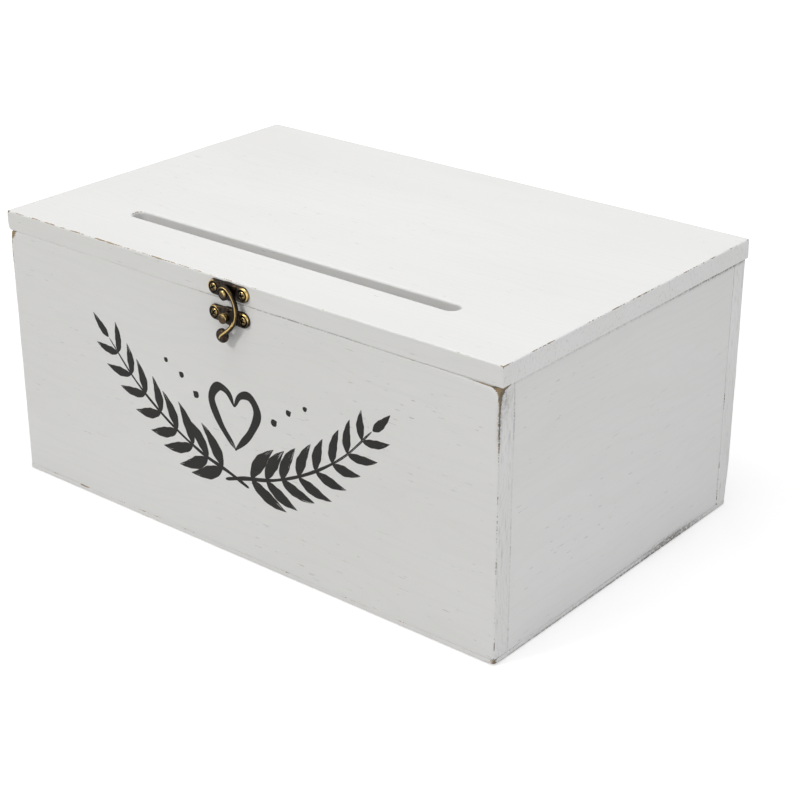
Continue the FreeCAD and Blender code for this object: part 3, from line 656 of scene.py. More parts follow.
def hook_neck():
    """The hook's neck: a round rod from the bow's lower end that runs out over the knob as a ridge."""
    places = [
        # x and z from the pivot, y from the hook's front, radius
        (6.4, -13.2, 0.9, 0.5),
        (5.4, -16.6, 0.75, 1.15),
        (3.2, -19.4, 0.45, 1.4),
        (0.6, -21.7, 0.0, 1.35),
        (-1.6, -23.6, -0.35, 1.2),
        (-3.2, -25.6, -0.1, 0.95),
        (-4.4, -27.2, 0.7, 0.6),
    ]
    rows = smooth_path(places, 90)
    u = np.linspace(-1, 1, len(rows))
    radius = (rows[:, 3] * np.sqrt(np.maximum(1 - u**12, 0)))[:, None]
    along = np.gradient(rows[:, :2], axis=0)
    along /= np.linalg.norm(along, axis=1, keepdims=True)
    angle = np.linspace(0, 2 * math.pi, 40, endpoint=False)
    across = radius * np.cos(angle)
    x = PIVOT[0] + rows[:, :1] + along[:, 1:] * across
    z = PIVOT[2] + rows[:, 1:2] - along[:, :1] * across
    y = ARM_FRONT + rows[:, 2:3] - radius * np.sin(angle)
    crest = smoothstep(0.84, 1.0, np.sin(angle) + 0.1 * np.cos(angle))
    worn = 0.95 * crest * np.ones(radius.shape) - 0.15
    return shell(np.stack([x, y, z], axis=-1), grid_faces(len(rows), len(angle), closed=True), rub=worn)


def hook_knob():
    """The knob: a round cushion, r = R cos^0.8 and h = H sin^0.9 over the rise angle."""
    rise = np.linspace(-math.pi / 2, math.pi / 2, 40)
    r = KNOB_RADIUS * np.cos(rise) ** 0.8
    h = KNOB_HALF_HEIGHT * np.sign(np.sin(rise)) * np.abs(np.sin(rise)) ** 0.9
    centre = (KNOB[0], ARM_FRONT + HOOK_THICKNESS / 2, KNOB[2])

    def worn(radius, height, angle):
        # Brass on one side of the knob's upper rim: partly wear, partly a painted highlight
        return 0.5 * hump(radius, 3.8, 0.35) * (height > 0) * rub_and_highlight_side(angle, 215) - 0.1

    return turned(np.stack([np.maximum(r, 0), h], axis=1), "-y", centre, worn)


def swing_hook():
    """The whole hook: bow, neck and knob as one surface."""
    return join([hook_bow(), hook_neck(), hook_knob()])


def pivot_rivet():
    """The rivet: a domed head over the eye and a plain shank behind it."""
    head = [(0, 1.0), (0.9, 0.96), (1.6, 0.8), (2.15, 0.45), (2.4, 0.1), (2.4, -0.02), (1.5, -0.02)]
    shank = [(1.5, -4.5), (1.2, -4.9), (0, -4.9)]
    profile = corner_profile(head + shank, 0.3)

    def worn(r, h, angle):
        # Brass on one side of the domed head: partly wear, partly a painted highlight
        return smoothstep(-0.05, 0.5, h) * (0.28 + 0.6 * hump(r, 1.6, 0.6) * rub_and_highlight_side(angle, 55))

    return turned(profile, "-y", (PIVOT[0], ARM_FRONT, PIVOT[2]), worn)


def catch_stud():
    """The catch's stud: a base ring, a narrower neck that the hook goes round and a drum head."""
    corners = [
        (0, 4.75), (1.6, 4.85), (2.75, 4.95), (2.8, 2.5), (2.3, 2.4), (2.3, 1.3), (2.9, 1.2),
        (2.95, -0.1), (1.5, -0.1), (1.5, -5.4), (0, -5.6),
    ]
    profile = corner_profile(corners, 0.55)

    def worn(r, h, angle):
        # Brass on the drum's upper side and its rim: partly wear, partly a painted highlight
        drum = smoothstep(2.3, 3.2, h) * smoothstep(2.4, 2.7, r)
        return (0.85 * drum + 0.45 * hump(h, 4.75, 0.3)) * rub_and_highlight_side(angle, 75) + 0.1

    centre = (PIVOT[0], FRONT_FACE - PLATE_THICKNESS, STUD_Z)
    return turned(profile, "-y", centre, worn)


# Butt hinges

SIDES = ("left", "right")
KNUCKLE_RADIUS = 1.8
KNUCKLE_BORE = 0.93
KNUCKLE_INNER = 4.2
KNUCKLE_GAP = 0.2
LEAF_THICKNESS = 1.2
LEAF_CORNER = 1.2
NOTCH_DEPTH, NOTCH_OVERRUN = 2.2, 2
LEAF_SCREW_OFFSET = 6.0
LEAF_SCREW_SPACING = 16.0
LEAF_SEAT_HEIGHT = 0.6


def box_distance(a, b, half_a, half_b, radius):
    """Signed distance to a rectangle with rounded corners."""
    over_a, over_b = np.abs(a) - half_a + radius, np.abs(b) - half_b + radius
    outside = np.hypot(np.maximum(over_a, 0), np.maximum(over_b, 0))
    return outside + np.minimum(np.maximum(over_a, over_b), 0) - radius


def knuckle_spans(up, half):
    """Where a leaf's knuckles lie along the hinge: the lid's in the middle, the box's at both ends."""
    outer = KNUCKLE_INNER + KNUCKLE_GAP
    return [(-KNUCKLE_INNER, KNUCKLE_INNER)] if up else [(-half, -outer), (outer, half)]


def notch_spans(up, half):
    """Where a leaf is cut back for the other leaf's knuckles."""
    if up:
        return [(-half - NOTCH_OVERRUN, -KNUCKLE_INNER), (KNUCKLE_INNER, half + NOTCH_OVERRUN)]
    return [(-KNUCKLE_INNER - KNUCKLE_GAP, KNUCKLE_INNER + KNUCKLE_GAP)]


def hinge_leaf(node, up):
    """A hinge leaf: a plate with rounded rim and countersunk screw seats, and its rolled knuckles."""
    low, high = box_of(node)
    middle_x, half_width = (low[0] + high[0]) / 2, (high[0] - low[0]) / 2
    far = high[2] if up else low[2]
    plate_half = abs(far - HINGE_AXIS[2]) / 2
    middle_z = (far + HINGE_AXIS[2]) / 2
    screw_b = HINGE_AXIS[2] + (LEAF_SCREW_OFFSET if up else -LEAF_SCREW_OFFSET) - middle_z
    near = -1 if up else 1

    def inside(a, b):
        plate = box_distance(a, b, half_width, plate_half, LEAF_CORNER)
        for start, end in notch_spans(up, half_width):
            along, across = a - (start + end) / 2, b - near * plate_half
            notch = box_distance(along, across, (end - start) / 2, NOTCH_DEPTH, 0.3)
            plate = np.maximum(plate, -notch)
        return plate

    def seat_r(a, b):
        return np.hypot(np.abs(a) - LEAF_SCREW_SPACING / 2, b - screw_b)

    def height(a, b, depth):
        return LEAF_THICKNESS * (0.3 + 0.7 * rim(depth, 0.5)) - 0.6 * smoothstep(2.6, 2.3, seat_r(a, b))

    def worn(a, b, depth):
        return 0.45 * hump(depth, 0.25, 0.3) + 0.35 * hump(seat_r(a, b), 2.65, 0.25)

    plate = casting(inside, height, worn, "+y", (middle_x, BACK_FACE, middle_z))
    rolls = [knuckle(middle_x + start, middle_x + end) for start, end in knuckle_spans(up, half_width)]
    return join([plate] + rolls)


def knuckle(start, end):
    """A rolled knuckle: a ring section with eased corners carried round the hinge's axis."""
    length = end - start
    corners = [(KNUCKLE_BORE, 0), (KNUCKLE_RADIUS, 0), (KNUCKLE_RADIUS, length), (KNUCKLE_BORE, length)]
    loop = corner_profile(corners[-1:] + corners + corners[:1], 0.25)[1:-1]

    def worn(r, h, angle):
        ends = hump(h, 0.1, 0.3) + hump(h, length - 0.1, 0.3)
        # The ends are rubbed wear; the brass on one side is partly a painted highlight
        return (0.6 * ends + 0.55 * rub_and_highlight_side(angle, 35)) * (r > 1.5)

    return turned(loop, "x", (start, HINGE_AXIS[1], HINGE_AXIS[2]), worn, closed=True)


def hinge_pin(node):
    """The hinge pin: a rod with a peened dome at each end."""
    low, high = box_of(node)
    length = high[0] - low[0]
    half = [(0, 0), (0.9, 0.06), (1.35, 0.35), (1.4, 0.6), (0.9, 0.62)]
    profile = corner_profile(half + [(r, length - h) for r, h in reversed(half)], 0.2)

    def worn(r, h, angle):
        return 0.8 * (r < 1.35) * ((h < 0.5) | (h > length - 0.5)) + 0.3

    return turned(profile, "x", (low[0], HINGE_AXIS[1], HINGE_AXIS[2]), worn)


# Painted garland

GARLAND_Z = 80.0
PAINT_FILM = 0.07
STROKE_ROWS = 48
STROKE_SECTION = 16


def brush_stroke(path, width, seed):
    """A brush stroke of paint: a flat oval section carried along a path on the front.

    path gives x and z, width the half width along the stroke. The section is w cos(q) across and
    film sin(q) out of the board, and its lower half lies in the board.
    """
    rows = len(path)
    along = np.gradient(path, axis=0)
    along /= np.maximum(np.linalg.norm(along, axis=1, keepdims=True), 1e-9)
    angle = np.linspace(0, 2 * math.pi, STROKE_SECTION, endpoint=False)
    across = width[:, None] * np.cos(angle)
    x = path[:, :1] - along[:, 1:] * across
    z = path[:, 1:] + along[:, :1] * across
    film = PAINT_FILM * np.minimum(1, width / 0.6)[:, None]
    y = FRONT_FACE - film * np.sign(np.sin(angle)) * np.abs(np.sin(angle)) ** 0.5
    u = np.broadcast_to(np.linspace(0, 1, rows)[:, None], x.shape)
    v = np.broadcast_to(np.cos(angle), x.shape)
    return shell(
        np.stack([x, y, z], axis=-1), grid_faces(rows, STROKE_SECTION, closed=True),
        stroke_u=u, stroke_v=v, stroke_seed=np.full(x.shape, seed),
    )


def leaf(base, angle, length, width, bend, seed):
    """One leaf in a single stroke: an arc of the given bend, wide at the belly and drawn to a point."""
    u = np.linspace(0, 1, STROKE_ROWS)
    heading = angle + bend * (u - 0.5)
    step = length / (STROKE_ROWS - 1)
    path = np.stack([np.cumsum(np.cos(heading)), np.cumsum(np.sin(heading))], axis=1) * step
    belly = np.sin(math.pi * u**0.8) ** 0.85 * (1 - 0.25 * u)
    ripple = 1 + 0.06 * np.sin(9 * u + 40 * seed) + 0.04 * np.sin(23 * u + 70 * seed)
    return brush_stroke(np.array(base) + path, width / 2 * np.maximum(belly, 0) * ripple, seed)


def stem(places, start_width, end_width, seed):
    """A stem: a long stroke through places, thinning towards its end."""
    path = smooth_path(places, 120)
    u = np.linspace(0, 1, len(path))
    ends = np.sqrt(np.maximum(1 - (2 * u - 1) ** 16, 0))
    ripple = 1 + 0.12 * np.sin(17 * u + 50 * seed) + 0.08 * np.sin(41 * u + 20 * seed)
    return brush_stroke(path, (start_width + (end_width - start_width) * u) / 2 * ends * ripple, seed)


def sprig(side, draw):
    """One half of the garland: a stem that rises outwards, with leaves in pairs and one at its tip."""
    places = [(-9, -34), (6, -29), (28, -23), (53, -11), (77, 6), (97, 27)]
    spine = smooth_path(places, 200)
    heading = np.unwrap(np.arctan2(*np.gradient(spine, axis=0)[:, ::-1].T))

    def put(place):
        return side * place[0], GARLAND_Z + place[1]

    def leaf_at(place, angle, length, width, bend):
        turned_angle = math.pi - angle if side < 0 else angle
        return leaf(put(place), turned_angle, length, width, side * bend, draw.random())

    strokes = [stem([put(place) for place in places], 2.6, 1.2, draw.random())]
    for share in np.linspace(0.25, 0.93, 8):
        spot = int(share * (len(spine) - 1))
        size = 1.12 - 0.5 * share
        for lean in (1, -1):
            tilt = heading[spot] + lean * math.radians(36 + 8 * draw.random())
            length = (26 + 3 * draw.random()) * size
            strokes.append(leaf_at(spine[spot], tilt, length, 8.6 * size, -0.45 * lean))
    strokes.append(leaf_at(spine[-1], heading[-1], 17, 5.6, 0.2))
    for place, size in (((27, 10), 5.0), ((38, 19), 4.2), ((50, 25), 3.4)):
        strokes.append(leaf_at(place, 0.6, size, size, 0.0))
    return strokes


def heart(draw):
    """A heart in two strokes, each from the dip over a lobe to the point."""
    half = [(0, 12), (4.5, 19.5), (12, 21), (17, 12.5), (11.5, 0), (4, -9), (-0.7, -14)]
    strokes = []
    for side in (-1, 1):
        path = smooth_path([(side * x, GARLAND_Z + z) for x, z in half], 120)
        u = np.linspace(0, 1, len(path))
        width = 0.8 + 1.9 * np.sin(math.pi * np.clip(u * 1.05, 0, 1)) ** 0.8
        width *= np.sqrt(np.maximum(1 - (2 * u - 1) ** 12, 0)) * (1 + 0.08 * np.sin(25 * u + side))
        strokes.append(brush_stroke(path, width, draw.random()))
    return strokes


def garland():
    """The whole garland: two sprigs that cross under a heart, all from one seeded draw."""
    draw = np.random.default_rng(5)
    return join(sprig(-1, draw) + sprig(1, draw) + heart(draw))


# Finishes

class Finish:
    """A material under way: each method adds a node and gives back its output."""

    def __init__(self, name):
        self.material = bpy.data.materials.new(name)
        self.material.use_nodes = True
        self.tree = self.material.node_tree
        self.tree.nodes.clear()
        self.shader = self.tree.nodes.new("ShaderNodeBsdfPrincipled")
        output = self.tree.nodes.new("ShaderNodeOutputMaterial")
        self.tree.links.new(self.shader.outputs[0], output.inputs["Surface"])

    def add(self, kind, inputs, output=0, **settings):
        """A node of a kind with its inputs linked or set."""
        node = self.tree.nodes.new(kind)
        for key, value in settings.items():
            setattr(node, key, value)
        for key, value in inputs.items():
            self.feed(node.inputs[key], value)
        return node.outputs[output]

    def feed(self, socket, value):
        if isinstance(value, bpy.types.NodeSocket):
            self.tree.links.new(value, socket)
        else:
            socket.default_value = value

    def surface(self, **inputs):
        """Sets the shader's own sockets; underscores stand for spaces."""
        for key, value in inputs.items():
            self.feed(self.shader.inputs[key.replace("_", " ")], value)
        return self.material

    def millimetres(self):
        """Object coordinates in millimetres."""
        coordinates = self.add("ShaderNodeTexCoord", {}, "Object")
        return self.add("ShaderNodeVectorMath", {0: coordinates, "Scale": 1000.0}, operation="SCALE")

    def stretch(self, vector, factors):
        return self.add("ShaderNodeVectorMath", {0: vector, 1: factors}, operation="MULTIPLY")

    def shift(self, vector, offset):
        return self.add("ShaderNodeVectorMath", {0: vector, 1: offset}, operation="ADD")

    def noise(self, vector, factors=(1.0, 1.0, 1.0), detail=3.0, roughness=0.55):
        """Noise with one cell per unit, after the place is stretched by the factors."""
        vector = self.stretch(vector, factors)
        inputs = {"Vector": vector, "Scale": 1.0, "Detail": detail, "Roughness": roughness}
        return self.add("ShaderNodeTexNoise", inputs, "Fac")

    def attribute(self, name):
        return self.add("ShaderNodeAttribute", {}, "Fac", attribute_name=name)

    def math(self, operation, first, second=0.0):
        return self.add("ShaderNodeMath", {0: first, 1: second}, operation=operation)

    def plus(self, first, second):
        return self.math("ADD", first, second)

    def minus(self, first, second):
        return self.math("SUBTRACT", first, second)

    def times(self, first, second):
        return self.math("MULTIPLY", first, second)

    def ramp(self, value, low, high, start=0.0, end=1.0):
        """From start at low to end at high, eased at both ends."""
        inputs = {"Value": value, "From Min": low, "From Max": high, "To Min": start, "To Max": end}
        return self.add("ShaderNodeMapRange", inputs, interpolation_type="SMOOTHSTEP")

    def mix(self, factor, first, second):
        """A colour between two others."""
        return self.add("ShaderNodeMix", {0: factor, 6: first, 7: second}, 2, data_type="RGBA")

    def bump(self, height, distance, strength=1.0):
        inputs = {"Height": height, "Distance": distance, "Strength": strength}
        return self.add("ShaderNodeBump", inputs)


PAINT_WHITE = (0.82, 0.82, 0.82, 1)
PAINT_THIN = (0.70, 0.69, 0.665, 1)
GRAIN_GREY = (0.36, 0.35, 0.34, 1)
WOOD_BROWN = (0.34, 0.245, 0.135, 1)
WOOD_DARK = (0.15, 0.128, 0.10, 1)
PINE_BARE = (0.62, 0.44, 0.25, 1)
# Dark colour for dark marks and for the painted shade lines under the lid and in the seam
DARK_DIRT_AND_SHADE = (0.10, 0.09, 0.08, 1)
PATINA_DARK, PATINA_BROWN = (0.017, 0.014, 0.013, 1), (0.075, 0.052, 0.029, 1)
BRASS_DULL, BRASS_BRIGHT = (0.42, 0.29, 0.10, 1), (0.66, 0.49, 0.21, 1)
BLACK_DEEP, BLACK_WORN = (0.012, 0.012, 0.012, 1), (0.026, 0.025, 0.024, 1)
STROKE_LIP = (0.10, 0.075, 0.05, 1)
STEEL_DARK, STEEL_BRIGHT = (0.42, 0.42, 0.43, 1), (0.58, 0.58, 0.59, 1)


def painted_pine(name, grain_axis, offset, pith, end_show=0.05, streak=0.4):
    """White paint over pine: growth rings, fibres and pores show faintly, and rubbed edges are brown.

    The rings are lengths from the pith, an axis along the grain, so that they run as stripes on the
    faces and as arcs on the end grain.
    """
    finish = Finish(name)
    place_mm = finish.shift(finish.millimetres(), offset)
    split = finish.tree.nodes.new("ShaderNodeSeparateXYZ")
    finish.tree.links.new(place_mm, split.inputs[0])
    order = [grain_axis] + [axis for axis in range(3) if axis != grain_axis]
    parts = {k: split.outputs[axis] for k, axis in enumerate(order)}
    grain = finish.add("ShaderNodeCombineXYZ", parts)

    wander = finish.noise(grain, (0.006, 0.03, 0.03), detail=2.0)
    across = finish.shift(finish.stretch(grain, (0.0, 1.0, 1.0)), (0.0,) + pith)
    reach = finish.add("ShaderNodeVectorMath", {0: across}, "Value", operation="LENGTH")
    bent = finish.plus(reach, finish.times(wander, 26.0))
    wave = finish.math("SINE", finish.times(bent, 2.1))
    ring = finish.ramp(wave, 0.1, 1.0)
    fibre = finish.ramp(finish.noise(grain, (0.012, 0.9, 0.9), detail=5.0), 0.5, 0.75)
    pore = finish.noise(grain, (0.10, 2.0, 2.0), detail=2.0)
    patch = finish.ramp(finish.noise(grain, (0.009, 0.02, 0.02), detail=1.0), 0.42, 0.56)
    dash = finish.times(finish.ramp(pore, 0.71, 0.76), patch)

    end = finish.attribute("end_grain")
    bare = finish.attribute("bare")
    show = finish.ramp(end, 0.0, 1.0, 0.028, end_show)
    figure = finish.times(finish.plus(finish.times(ring, 0.7), fibre), show)
    speck = finish.ramp(finish.noise(place_mm, (0.9, 0.9, streak), detail=4.0), 0.56, 0.72)
    end_marks = finish.times(finish.times(speck, end), 0.4)
    marks = finish.plus(finish.plus(figure, finish.times(dash, 0.9)), end_marks)

    cloud = finish.noise(grain, (0.004, 0.012, 0.012), detail=3.0)
    paint = finish.mix(finish.ramp(cloud, 0.3, 0.75, 0.0, 0.22), PAINT_WHITE, PAINT_THIN)
    paint = finish.mix(marks, paint, GRAIN_GREY)
    bare_figure = finish.plus(finish.times(ring, 0.22), finish.times(fibre, 0.3))
    pine = finish.mix(bare_figure, PINE_BARE, WOOD_BROWN)
    paint = finish.mix(finish.times(bare, finish.ramp(cloud, 0.2, 0.8, 0.45, 0.75)), paint, pine)

    edge = finish.ramp(finish.attribute("edge_distance"), 0.0, 1.5, 1.0, 0.0)
    coarse = finish.noise(place_mm, (0.07, 0.07, 0.07), detail=2.0)
    fine = finish.noise(place_mm, (0.7, 0.7, 0.7), detail=4.0)
    ragged = finish.plus(finish.times(coarse, 2.6), finish.times(fine, 1.7))
    rubbed = finish.times(edge, finish.minus(ragged, 1.05))
    sanded = finish.attribute("sanded")
    scratch = finish.noise(place_mm, (0.22, 0.5, 1.9), detail=3.0)
    broken = finish.times(sanded, finish.ramp(scratch, 0.3, 0.66, 0.55, 1.35))
    worn = finish.ramp(finish.plus(rubbed, broken), 1.36, 1.62)
    light = finish.times(finish.ramp(fine, 0.3, 0.55), finish.ramp(end, 0.2, 0.9, 1.0, 0.15))
    wood = finish.mix(light, WOOD_DARK, WOOD_BROWN)
    colour = finish.mix(worn, paint, wood)
    # Darkens the dark spots: real marks in places, painted shade under the lid's overhang and in the seam
    # under the lid in others
    dirt_and_shade = finish.times(finish.attribute("dirt_and_shade"), finish.ramp(fine, 0.42, 0.52, 0.3, 1.0))
    colour = finish.mix(dirt_and_shade, colour, DARK_DIRT_AND_SHADE)

    brush = finish.noise(grain, (0.03, 1.6, 1.6), detail=4.0)
    depth = finish.minus(finish.times(brush, 0.25), finish.times(marks, 0.6))
    depth = finish.minus(depth, finish.times(worn, 0.8))
    return finish.surface(
        Base_Color=colour, Roughness=finish.ramp(cloud, 0.2, 0.8, 0.52, 0.66),
        Normal=finish.bump(depth, 0.00012, 0.6), Specular_IOR_Level=0.35,
    )


def antique_bronze(name):
    """Cast bronze: a dark brown patina, mottled, rubbed through to brass where the rub field is high;
    where that field lies on one side of a part, the brass is partly a painted highlight.
    """
    finish = Finish(name)
    place_mm = finish.millimetres()
    cloud = finish.noise(place_mm, (0.5, 0.5, 0.5), detail=4.0)
    grit = finish.noise(place_mm, (3.2, 3.2, 3.2), detail=3.0)
    rub = finish.attribute("rub")
    lighter = finish.ramp(finish.plus(cloud, finish.times(rub, 0.5)), 0.35, 0.7)
    patina = finish.mix(lighter, PATINA_DARK, PATINA_BROWN)
    uneven_rub = finish.plus(rub, finish.times(cloud, 0.35))
    uneven_rub = finish.plus(uneven_rub, finish.times(grit, 0.22))
    worn = finish.ramp(uneven_rub, 0.62, 1.12)
    brass = finish.mix(finish.ramp(grit, 0.3, 0.7), BRASS_DULL, BRASS_BRIGHT)
    return finish.surface(
        Base_Color=finish.mix(worn, patina, brass), Metallic=1.0,
        Roughness=finish.ramp(worn, 0.0, 1.0, 0.42, 0.27), Normal=finish.bump(grit, 0.00005, 0.35),
    )


def black_brush_paint(name):
    """Black paint laid with a dry brush: bristle streaks along the stroke let the white through."""
    finish = Finish(name)
    u, v = finish.attribute("stroke_u"), finish.attribute("stroke_v")
    seed = finish.times(finish.attribute("stroke_seed"), 97.0)
    along = finish.plus(finish.times(u, 2.2), seed)
    bristle = finish.add("ShaderNodeCombineXYZ", {0: along, 1: finish.times(v, 5.0), 2: seed})
    streak = finish.noise(bristle, detail=3.0)
    dry = finish.plus(streak, finish.ramp(u, 0.45, 1.0, -0.06, 0.10))
    bare = finish.ramp(dry, 0.66, 0.74)
    grain = finish.noise(finish.millimetres(), (0.05, 1.4, 1.4), detail=4.0)
    black = finish.mix(finish.ramp(grain, 0.3, 0.7), BLACK_DEEP, BLACK_WORN)
    lip = finish.ramp(finish.math("ABSOLUTE", v), 0.86, 0.99)
    black = finish.mix(finish.times(lip, 0.6), black, STROKE_LIP)
    return finish.surface(
        Base_Color=finish.mix(finish.times(bare, 0.85), black, PAINT_WHITE),
        Roughness=finish.ramp(grain, 0.3, 0.7, 0.5, 0.68), Normal=finish.bump(streak, 0.00008, 0.5),
        Specular_IOR_Level=0.2,
    )


def bright_steel(name):
    """Drawn steel wire: fine scratches lighten, darken and roughen it."""
    finish = Finish(name)
    scratch = finish.noise(finish.millimetres(), (2.5, 6.0, 2.5), detail=4.0)
    colour = finish.mix(finish.ramp(scratch, 0.3, 0.7), STEEL_DARK, STEEL_BRIGHT)
    return finish.surface(
        Base_Color=colour, Metallic=1.0, Roughness=finish.ramp(scratch, 0.3, 0.7, 0.25, 0.45),
        Normal=finish.bump(scratch, 0.00003, 0.4),
    )


# The box put together

BOX_RIGHT, BOX_TOP = FRONT_HIGH[0], FRONT_HIGH[2]
WALL_EDGE, WALL_JOINT_EDGE = 0.75, 0.22
SHEET_EDGE, SHEET_JOINT_EDGE = 0.45, 0.1
LID_EDGE = 0.7
SEAM_CLOSED = (0, -0.45, -0.45)
SIDE_SEAM_CLOSED = (-0.45, 0, -0.45)
FRONT_SPOTS = [
    # The upper right corner is sanded to bare wood, and so are bits of the other corners
    ((BOX_RIGHT, FRONT_FACE, BOX_TOP), (3.2, 8, 8), (2.6, 7.0, 8.0), 0.4),
    ((BOX_RIGHT, FRONT_FACE, BOX_TOP - 12), (3, 3, 14), (0.7, 0.9, 0.0), 0.75),
    ((BOX_RIGHT, FRONT_FACE, BOX_TOP - 23), (1.8, 1.8, 10), (0, 0, 0), 0.55),
    ((BOX_RIGHT - 8, FRONT_FACE, BOX_TOP), (10, 3, 3), (0.0, 1.6, 1.4), 0.4),
    ((-BOX_RIGHT, FRONT_FACE, BOX_TOP), (5.0, 6, 4.5), (1.2, 1.2, 1.4), 3.6),
    ((-BOX_RIGHT, FRONT_FACE, BOX_TOP - 18), (2.0, 2.0, 28), (0, 0, 0), 1.2),
    ((BOX_RIGHT, FRONT_FACE, 3), (2, 2, 3), (0.5, 0.5, 0.5), 0.6),
    ((BOX_RIGHT, FRONT_FACE, 60), (1.5, 1.5, 40), (0, 0, 0), 0.3),
    # The seam under the lid stays close on the left, and so does the one above the bottom sheet
    ((-70, FRONT_FACE, BOX_TOP), (110, 3, 2), SEAM_CLOSED, -0.8),
    ((-95, FRONT_FACE, FRONT_LOW[2]), (55, 3, 2), SEAM_CLOSED, -0.8),
    ((75, FRONT_FACE, FRONT_LOW[2]), (70, 3, 2), SEAM_CLOSED, -0.8),
]
SIDE_SPOTS = [
    # A shadowed groove under the lid, deeper towards the back
    ((BOX_RIGHT, -10, BOX_TOP), (4, 160, 4), (0.6, 0, 0.6), -2.5),
    ((BOX_RIGHT, 110, BOX_TOP), (4, 90, 4), (0.8, 0, 0.8), -2.5),
    ((BOX_RIGHT, -20, FRONT_LOW[2]), (3, 110, 2), SIDE_SEAM_CLOSED, -0.8),
    ((BOX_RIGHT, FRONT_HIGH[1], BOX_TOP - 17), (2, 2, 7), (0.4, 0.6, 0), 0.2),
    ((BOX_RIGHT, FRONT_HIGH[1], BOX_TOP), (3, 3, 3), (0.3, 0.3, 0.4), 0.6),
]
SIDE_DIRT_AND_SHADE = [
    # Painted shade: a dark line just under the lid's overhang, darker towards the back
    ((BOX_RIGHT, 0, BOX_TOP - 0.7), (3, 130, 1.1), 0, 0.28),
    ((BOX_RIGHT, 100, BOX_TOP - 0.7), (3, 60, 1.1), 0, 0.7),
    # Darker along the lower edge, and dark lines at the joint with the front board
    ((BOX_RIGHT, 5, FRONT_LOW[2]), (3, 60, 0.9), 0, 0.45),
    ((BOX_RIGHT, 50, FRONT_LOW[2]), (3, 28, 2.2), 0, 0.6),
    ((BOX_RIGHT, FRONT_HIGH[1], BOX_TOP - 20), (2, 0.8, 12), 0, 0.55),
    ((BOX_RIGHT, FRONT_HIGH[1], 40), (2, 0.5, 60), 0, 0.25),
]
FRONT_DIRT_AND_SHADE = [
    ((BOX_RIGHT, FRONT_FACE, BOX_TOP - 21), (1.3, 1.6, 9), 0, 0.7),
    # Painted shade: a dark line along the top edge, in the seam under the lid
    ((30, FRONT_FACE, BOX_TOP), (70, 3, 0.45), 0, 0.6),
    ((BOX_RIGHT, FRONT_FACE + 4, BOX_TOP - 9), (1.5, 4.5, 8), 0, 0.35),
    ((BOX_RIGHT, FRONT_FACE, FRONT_LOW[2]), (3, 12, 0.6), 0, 0.7),
]
BACK_PAINTED_SHADE = [
    # Painted shade: the dark line under the lid's overhang, carried onto the back board's end
    ((BOX_RIGHT, BACK_FACE - 6, BOX_TOP - 0.7), (3, 9, 1.1), 0, 0.9),
]
SHEET_SPOTS = [
    ((BOX_RIGHT, FRONT_FACE, 0), (4, 4, 3), (1.8, 1.8, 1.2), 2.2),
    ((BOX_RIGHT, BACK_FACE, 1.5), (4, 4, 14), (3.6, 3.6, 0.3), -2.0),
    ((-BOX_RIGHT + 48, FRONT_FACE, 3), (4, 3, 2), (0, 0.4, 0.4), 1.1),
]
SHEET_DARKENING = [
    # Darker in patches along the sheet's right edge
    ((BOX_RIGHT, 15, 0.4), (3, 75, 0.9), 0, 0.95),
    ((BOX_RIGHT, 55, 2.2), (3, 30, 1.6), 0, 0.75),
    ((BOX_RIGHT, -70, 0.3), (3, 40, 0.7), 0, 0.6),
]
BACK_SPOTS = [
    ((BOX_RIGHT, BACK_FACE, 3), (4, 4, 14), (2.8, 2.8, 0.0), -2.0),
    ((-BOX_RIGHT, BACK_FACE, BOX_TOP), (5, 5, 9), (1.6, 1.6, 2.4), 1.0),
]
LID_SPOTS = [
    ((LID_HIGH[0], LID_LOW[1], LID_HIGH[2]), (2.0, 2.0, 2.6), (0.3, 0.3, 0.3), 0.45),
    ((LID_LOW[0], LID_LOW[1], LID_HIGH[2]), (2.5, 2.5, 2.5), (0.4, 0.4, 0.4), 1.1),
    ((LID_LOW[0], LID_LOW[1], LID_HIGH[2] - 4), (1.2, 1.2, 6), (0, 0, 0), 0.6),
    ((LID_LOW[0], LID_LOW[1], LID_LOW[2]), (2.4, 6, 2.2), (1.5, 0.4, 1.5), -2.0),
    ((-40, LID_LOW[1], LID_HIGH[2]), (90, 2, 2), (0, 0.2, 0.2), 0.36),
    ((-130, LID_LOW[1], LID_HIGH[2]), (60, 2, 2), (0, 0.1, 0.1), 0.38),
    ((LID_HIGH[0], 0, LID_HIGH[2]), (2, 120, 2), (0.1, 0, 0.1), 0.3),
    ((LID_HIGH[0], LID_HIGH[1], LID_HIGH[2]), (3, 3, 3), (0.4, 0.4, 0.4), 0.9),
    ((-SLOT_LENGTH / 2, SLOT_Y + 1, LID_HIGH[2]), (5, 5, 2.5), (0, 0, 0), 1.1),
    # The lower front edge keeps its paint
    ((-60, LID_LOW[1], LID_LOW[2]), (120, 3, 2), SEAM_CLOSED, -0.8),
    ((120, LID_LOW[1], LID_LOW[2]), (60, 3, 2), SEAM_CLOSED, -0.8),
]


